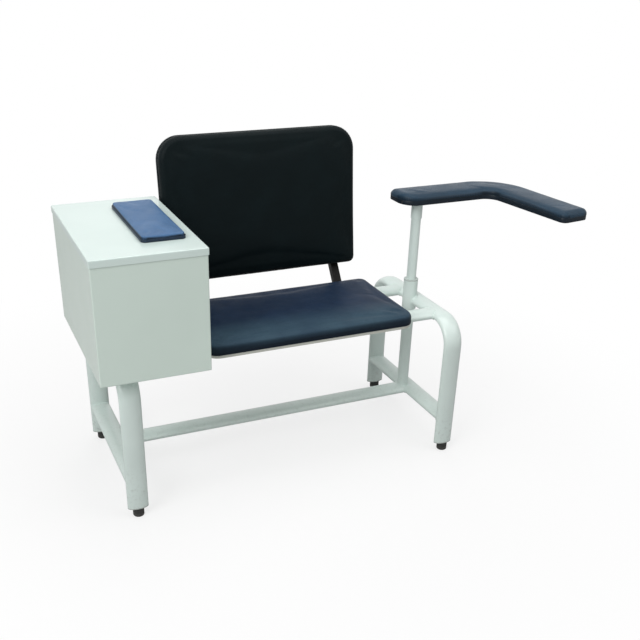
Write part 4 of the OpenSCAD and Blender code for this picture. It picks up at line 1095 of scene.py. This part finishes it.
def make_fasteners(node_name, shape, finish, body, tree, seed):
    """Replaces the plain fasteners of a CAD node by detailed ones in the same places"""
    seats, aims, sizes = zip(*fastener_places(node_name))
    one = link(node_name + "_one", shape(node_name + "_one", *sizes[0]))
    points = bpy.data.meshes.new(node_name + "_places")
    points.from_pydata([tuple(seat) for seat in seats], [], [])
    attribute(points, "aim", "FLOAT_VECTOR", aims)
    piece = grown(node_name + "_set", points, tree, finish, body, piece=one, seed=seed)
    bpy.data.objects.remove(one)
    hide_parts(node_name)


# CAD node, head, finish and body of each group of fasteners
FASTENERS = (
    ("seat_screws", pan_head, "zinc_steel", "frame"),
    ("back_screws", pan_head, "zinc_steel", "frame"),
    ("arm_screws", pan_head, "zinc_steel", "arm"),
    ("lid_pad_screws", pan_head, "zinc_steel", "lid"),
    ("bracket_bolts", hex_head, "zinc_steel", "frame"),
    ("cabinet_bolts", pan_head, "zinc_steel", "frame"),
    ("hinge_rivets_body", rivet_head, "hinge_steel", "frame"),
    ("hinge_rivets_lid", rivet_head, "hinge_steel", "lid"),
)


# Operators


class CHAIR_OT_finishes(Operator):
    """Gives every CAD node that stays visible its finish"""

    bl_idname = "chair.finishes"
    bl_label = "Finishes"

    def execute(self, context):
        make_finishes(context.scene)
        slots = {p["node"]: p["material_slot"] for p in frame["record"]["subparts"]}
        tree = smooth_tree()
        for name, piece in frame["nodes"].items():
            for place in piece.material_slots:
                place.material = FINISHES[slots[name]]
            piece.modifiers.new("smooth", "NODES").node_group = tree
            even = piece.modifiers.new("even shading", "WEIGHTED_NORMAL")
            even.keep_sharp = True
            even.weight = 100
        return {"FINISHED"}


class CHAIR_OT_seat(Operator):
    """Builds the seat cushion and the vinyl round its board"""

    bl_idname = "chair.seat"
    bl_label = "Seat cushion"

    def execute(self, context):
        up = context.scene.chair_upholstery
        space = PadSpace("seat_cushion", FLAT, (40 * MM, 26 * MM), "seat_vinyl", "frame")
        cushion(space, crown=7 * MM, rounding=up.seat_round, cap=4 * MM, seed=1)
        rows = edge_rows(board_inset=3 * MM, drop=4 * MM, wrap=up.wrap, climb=4 * MM)
        band("seat_wrap", space.outline(), rows, space.matrix, space.finish, space.body)
        return {"FINISHED"}


class CHAIR_OT_back(Operator):
    """Builds the back cushion and the vinyl stapled round its board"""

    bl_idname = "chair.back"
    bl_label = "Back cushion"

    def execute(self, context):
        up = context.scene.chair_upholstery
        sin, cos = math.sin(up.back_tilt), math.cos(up.back_tilt)
        axes = ((0, sin, cos), (0, -cos, sin))
        space = PadSpace("back_cushion", axes, (20 * MM, 70 * MM), "back_vinyl", "frame")
        cushion(space, crown=9 * MM, rounding=up.back_round, cap=3 * MM, seed=2)
        outline, board = space.outline(), 12.3 * MM
        rows = band_rows(3 * MM, board, up.wrap, margin=24 * MM, climb=4 * MM)
        band("back_wrap", outline, rows, space.matrix, space.finish, space.body, ragged=2.5 * MM, seed=3)
        under = -board - up.wrap - 0.2 * MM
        staples("back_staples", outline, 16 * MM, under, space.matrix, space.body, 4)
        return {"FINISHED"}


class CHAIR_OT_lid_pad(Operator):
    """Builds the pad on the cabinet's lid and the vinyl round its board"""

    bl_idname = "chair.lid_pad"
    bl_label = "Lid pad"

    def execute(self, context):
        up = context.scene.chair_upholstery
        space = PadSpace("lid_pad", FLAT, (14 * MM, 14 * MM), "lid_pad_vinyl", "lid")
        cushion(space, crown=2.5 * MM, rounding=up.lid_pad_round, cap=1.8 * MM, seed=5)
        rows = edge_rows(board_inset=1.5 * MM, drop=5.2 * MM, wrap=up.wrap * 0.6, climb=2.5 * MM)
        band("lid_pad_wrap", space.outline(), rows, space.matrix, space.finish, space.body)
        return {"FINISHED"}


class CHAIR_OT_arm_pad(Operator):
    """Builds the swing arm's pad and the vinyl stapled round its board"""

    bl_idname = "chair.arm_pad"
    bl_label = "Arm pad"

    def execute(self, context):
        up, arm = context.scene.chair_upholstery, context.scene.chair_arm
        post, base, board = middle("arm_post"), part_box("arm_pad")[0].z, 10.3 * MM
        mesh = arm_pad_mesh("arm_pad_cover", arm, post, base, up.arm_round)
        piece = swollen("arm_pad_cover", mesh, up.voxel * 0.8, base + 3 * MM, 3 * MM)
        points = coordinates(piece.data)
        points -= normals_of(piece.data) * (0.4 * MM * soft_noise(points, 0.04, 8))[:, None]
        points[:, 2] = np.maximum(points[:, 2], base)
        set_coordinates(piece.data, points)
        outline = arm_outline(arm, post)
        nearest = KDTree(len(outline[0]))
        for i, (x, y) in enumerate(outline[0]):
            nearest.insert((x, y, 0), i)
        nearest.balance()
        inset = [nearest.find((x, y, 0))[2] for x, y, _ in points]
        covered(piece, "arm_vinyl", "arm", "arm_pad", inset)
        rows = band_rows(3 * MM, board, up.wrap, margin=15 * MM, climb=3 * MM)
        lift = Matrix.Translation((0, 0, base))
        band("arm_wrap", outline, rows, lift, "arm_vinyl", "arm", ragged=1.5 * MM, seed=9)
        staples("arm_staples", outline, 10 * MM, -board - up.wrap - 0.2 * MM, lift, "arm", 10)
        return {"FINISHED"}


class CHAIR_OT_fasteners(Operator):
    """Replaces the plain screws, bolts and rivets by detailed ones"""

    bl_idname = "chair.fasteners"
    bl_label = "Fasteners"

    def execute(self, context):
        tree = scatter_tree("fasteners", 0.0, math.tau)
        for seed, row in enumerate(FASTENERS, context.scene.chair_hardware.seed):
            make_fasteners(*row, tree, seed)
        return {"FINISHED"}


# Direction in which the clamp's stud leaves the post, seen from above
CLAMP_TURN = math.radians(60)


class CHAIR_OT_knob(Operator):
    """Replaces the plain clamp knob by a moulded one with soft lobes"""

    bl_idname = "chair.knob"
    bl_label = "Clamp knob"

    def execute(self, context):
        r = context.scene.chair_hardware.knob_radius
        axis = Vector((math.cos(CLAMP_TURN), math.sin(CLAMP_TURN), 0))
        along = coordinates(frame["nodes"]["clamp_knob"].data) @ np.array(axis)
        centre = middle("clamp_stud")
        start = centre + axis * (float(along.min()) - centre.dot(axis))
        deep = float(along.max() - along.min())

        def lobes(share, depth):
            return lambda a: r * share * (1 - depth * (0.5 - 0.5 * math.cos(6 * a)) ** 1.5)

        rings = [(4.2 * MM, 0), (0.5 * r, 0), (0.5 * r, deep * 0.14)]
        for share, depth, level in (
            (0.9, 0.12, 0.2), (0.97, 0.14, 0.28), (1, 0.15, 0.4), (1, 0.15, 0.66), (0.96, 0.14, 0.8),
            (0.88, 0.12, 0.91), (0.72, 0.08, 0.98),
        ):
            rings.append((lobes(share, depth), deep * level))
        rings += [(0.5 * r, deep), (0.46 * r, deep * 0.97), (0.2 * r, deep * 0.965)]
        mesh = turned("clamp_knob_moulded", rings, 72)
        mesh.transform(Matrix.Translation(start) @ axis.to_track_quat("Z", "Y").to_matrix().to_4x4())
        piece = dressed(link("clamp_knob_moulded", mesh), "knob_plastic", "clamp")
        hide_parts("clamp_knob")
        return {"FINISHED"}


# Half width and half height of the elliptical tube, and how far the leg tubes stand from the middle
TUBE_A, TUBE_B = 30 * MM, 15 * MM
LEG_Y = 235 * MM
# Outer radii of the post's guide tube, its collar, the clamp's boss and the arm's hub
GUIDE_R, COLLAR_R, BOSS_R, HUB_R = 18 * MM, 22.5 * MM, 10 * MM, 17 * MM


def circle(centre, r, z, step):
    """Points round a vertical axis, at every step degrees"""
    angles = np.radians(np.arange(0, 360, step))
    x, y = centre.x + r * np.cos(angles), centre.y + r * np.sin(angles)
    return np.column_stack([x, y, np.full(len(angles), z)])


def over_tube(away):
    """Height of the elliptical tube's surface above its middle, at a distance from it"""
    return TUBE_B * np.sqrt(np.maximum(0, 1 - (away / TUBE_A) ** 2))


class CHAIR_OT_welds(Operator):
    """Lays weld beads where the tubes meet"""

    bl_idname = "chair.welds"
    bl_label = "Welds"

    def execute(self, context):
        hardware, tree = context.scene.chair_hardware, weld_tree()
        ring = circle(middle("swivel_hub"), HUB_R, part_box("arm_plate")[0].z, 4)
        for seed, name, lines, body in (
            (0, "frame_welds", self.tube_joints() + self.post_joints(), "frame"),
            (1, "hub_weld", [(ring, 0.8, True)], "arm"),
        ):
            grown(
                name, line_mesh(name, lines), tree, "frame_paint", body, pitch=hardware.weld_pitch,
                size=hardware.weld_size, seed=hardware.seed + seed,
            )
        return {"FINISHED"}

    def tube_joints(self):
        """Beads where cross tubes and rails meet the end frames"""
        lines = []
        angles = np.radians(np.arange(0, 360, 4))
        cos, sin = np.cos(angles), np.sin(angles)
        for end, side in (("left", -1), ("right", 1)):
            x = middle(end + "_end_frame").x
            for at in (middle(name) for name in ("front_cross_tube", "rear_cross_tube", "stretcher")):
                rows = (x - side * TUBE_A * np.abs(cos), at.y + TUBE_A * cos, at.z + TUBE_B * sin)
                lines.append((np.column_stack(rows), smoothstep(np.abs(cos), 0.25, 0.7), True))
            z = middle(end + "_side_rail").z
            for way in (-1, 1):
                y = CHAIR.y + way * (LEG_Y - TUBE_B * np.abs(sin))
                rows = (x + TUBE_A * cos, y, z + TUBE_B * sin)
                lines.append((np.column_stack(rows), smoothstep(np.abs(sin), 0.2, 0.6), True))
        return lines

    def post_joints(self):
        """Beads round the guide tube, the collar and the clamp's boss"""
        post, frame_x = middle("post_guide_tube"), middle("right_end_frame").x
        foot = circle(post, GUIDE_R, middle("right_side_rail").z, 6)
        foot[:, 2] += np.maximum(over_tube(foot[:, 0] - frame_x), over_tube(foot[:, 1] - post.y))
        lines = [(foot, 1, True)]
        reach = math.degrees(math.acos((frame_x - TUBE_A - post.x) / COLLAR_R))
        arc = np.radians(np.linspace(-reach, reach, 50))
        x, y = post.x + COLLAR_R * np.cos(arc), post.y + COLLAR_R * np.sin(arc)
        run_z = middle("front_cross_tube").z
        for way in (1, -1):
            lines.append((np.column_stack([x, y, run_z + way * over_tube(x - frame_x)]), 0.95, False))
        lines.append((circle(post, GUIDE_R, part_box("post_collar")[0].z, 6), 0.8, True))
        out = np.array((math.cos(CLAMP_TURN), math.sin(CLAMP_TURN), 0))
        aside = np.array((-out[1], out[0], 0))
        angles = np.radians(np.arange(0, 360, 6))
        v, w = BOSS_R * np.cos(angles), BOSS_R * np.sin(angles)
        centre = np.array((post.x, post.y, middle("clamp_boss").z))
        rows = centre + np.outer(np.sqrt(COLLAR_R**2 - v * v), out) + np.outer(v, aside)
        lines.append((rows + np.outer(w, (0, 0, 1)), 0.75, True))
        return lines


# Camera solved from the photograph, which is 640 pixels wide: its turn in radians, its focal length and
# the picture's optical centre in pixels, and its place from the chair's origin in metres
YAW, PITCH, ROLL = 0.414776, -0.496618, 0.021007
FOCAL, CENTRE_X, CENTRE_Y, PICTURE = 884.925569, 296.824558, 407.190276, 640
EYE = Vector((-0.927430, -2.306141, 1.478633))
# Name, place from the chair's middle, size, and whether it shows in reflections
LAMPS = (
    ("key", (-3.3, -2.1, 2.55), 2.4, True),
    ("top", (0.1, -0.1, 2.6), 2.4, True),
    ("fill", (2.2, -1.6, 2.4), 1.8, True),
    ("rear", (0.9, 2.8, 1.7), 1.8, False),
)


class CHAIR_OT_stage(Operator):
    """Sets the floor, the lamps and the camera"""

    bl_idname = "chair.stage"
    bl_label = "Stage"

    def execute(self, context):
        scene, stage = context.scene, context.scene.chair_stage
        self.floor(stage)
        self.world(scene, stage)
        for name, offset, size, mirrored in LAMPS:
            self.lamp(name + "_softbox", Vector(offset), size, getattr(stage, name), mirrored)
        self.camera(scene)
        scene.view_settings.view_transform = "Standard"
        return {"FINISHED"}

    def floor(self, stage):
        half = 30.0
        mesh = bpy.data.meshes.new("floor")
        corners = [(-half, -half, 0), (half, -half, 0), (half, half, 0), (-half, half, 0)]
        mesh.from_pydata(corners, [], [(0, 1, 2, 3)])
        material, node, place = new_material("studio_floor", stage.floor_colour)
        path = node("ShaderNodeLightPath").node.outputs
        seen = path["Is Camera Ray"]
        mirrored = node(MATH, (path["Is Glossy Ray"], path["Is Transmission Ray"]), operation="MAXIMUM")
        tone = node(MIX, {"Factor": seen, "A": stage.bounce_colour, "B": stage.floor_colour}, **COLOURS)
        shader = node(PRINCIPLED, {"Base Color": tone, "Roughness": 0.9, "Specular IOR Level": 0.1})
        away = node(VECTOR, (place, tuple(CHAIR)), operation="SUBTRACT")
        away = node(VECTOR, (away,), "Value", operation="LENGTH")
        near = node(RANGE, (away, 0.4, 1.7, 0.72, 1), **SMOOTH)
        far = node(RANGE, (away, 2, 6, 0, 1), **SMOOTH)
        near = node(MATH, (seen, near), operation="MULTIPLY")
        far = node(MATH, (mirrored, far), operation="MULTIPLY")
        white = node(MATH, (near, far), operation="ADD")
        plain = node("ShaderNodeEmission", {"Color": WHITE, "Strength": 1.0})
        both = node("ShaderNodeMixShader", (white, shader, plain))
        node("ShaderNodeOutputMaterial", {"Surface": both})
        mesh.materials.append(material)
        link("floor", mesh)

    def world(self, scene, stage):
        """Even light at the ambient level, and plain white to the camera and in mirrors"""
        world = scene.world = bpy.data.worlds.new("studio")
        world.use_nodes = True
        world.node_tree.nodes.clear()
        node = partial(add, world.node_tree)
        path = node("ShaderNodeLightPath").node.outputs
        seen = node(MATH, (path["Is Camera Ray"], path["Is Glossy Ray"]), operation="MAXIMUM")
        seen = node(MATH, (seen, path["Is Transmission Ray"]), operation="MAXIMUM")
        level = node(RANGE, (seen, 0, 1, stage.ambient, 1))
        sky = node("ShaderNodeBackground", {"Color": WHITE, "Strength": level})
        node("ShaderNodeOutputWorld", {"Surface": sky})

    def lamp(self, name, offset, size, level, mirrored):
        """A square softbox whose level is the share of full white that it gives a facing surface"""
        data = bpy.data.lights.new(name, "AREA")
        data.size = size
        data.energy = level * math.pi**2 * offset.length_squared
        piece = link(name, data)
        piece.location = CHAIR + Vector((0, 0, 0.45)) + offset
        piece.rotation_euler = (-offset).to_track_quat("-Z", "Y").to_euler()
        piece.visible_glossy = mirrored

    def camera(self, scene):
        forward = Vector(
            (math.sin(YAW) * math.cos(PITCH), math.cos(YAW) * math.cos(PITCH), math.sin(PITCH))
        )
        level = Vector((math.cos(YAW), -math.sin(YAW), 0))
        upright = level.cross(forward)
        right = math.cos(ROLL) * level + math.sin(ROLL) * upright
        up = -math.sin(ROLL) * level + math.cos(ROLL) * upright
        data = bpy.data.cameras.new("camera")
        data.sensor_width = 36
        data.lens = FOCAL * data.sensor_width / PICTURE
        data.shift_x = (PICTURE / 2 - CENTRE_X) / PICTURE
        data.shift_y = (CENTRE_Y - PICTURE / 2) / PICTURE
        data.clip_start, data.clip_end = 0.05, 200
        piece = scene.camera = link("camera", data)
        turn = Matrix((right, up, -forward)).transposed().to_4x4()
        piece.matrix_world = Matrix.Translation(CHAIR + EYE) @ turn


OPERATORS = (
    CHAIR_OT_finishes,
    CHAIR_OT_stage,
    CHAIR_OT_seat,
    CHAIR_OT_back,
    CHAIR_OT_lid_pad,
    CHAIR_OT_arm_pad,
    CHAIR_OT_fasteners,
    CHAIR_OT_knob,
    CHAIR_OT_welds,
)


class CHAIR_PT_panel(Panel):
    """Lists the chair's pieces in the 3D view's sidebar"""

    bl_idname = "CHAIR_PT_panel"
    bl_label = "Phlebotomy chair"
    bl_space_type = "VIEW_3D"
    bl_region_type = "UI"
    bl_category = "Chair"

    def draw(self, context):
        column = self.layout.column()
        for operator in OPERATORS:
            column.operator(operator.bl_idname)


GROUPS = {
    "chair_upholstery": UpholsterySettings,
    "chair_arm": ArmSettings,
    "chair_hardware": HardwareSettings,
    "chair_paint": PaintSettings,
    "chair_stage": StageSettings,
}


def register():
    for name, group in GROUPS.items():
        bpy.utils.register_class(group)
        setattr(bpy.types.Scene, name, PointerProperty(type=group))
    for kind in (*OPERATORS, CHAIR_PT_panel):
        bpy.utils.register_class(kind)


def unregister():
    for kind in reversed((*OPERATORS, CHAIR_PT_panel)):
        bpy.utils.unregister_class(kind)
    for name, group in reversed(GROUPS.items()):
        delattr(bpy.types.Scene, name)
        bpy.utils.unregister_class(group)


def main():
    register()
    for operator in OPERATORS:
        getattr(bpy.ops.chair, operator.bl_idname.split(".")[1])()


if __name__ == "__main__":
    main()
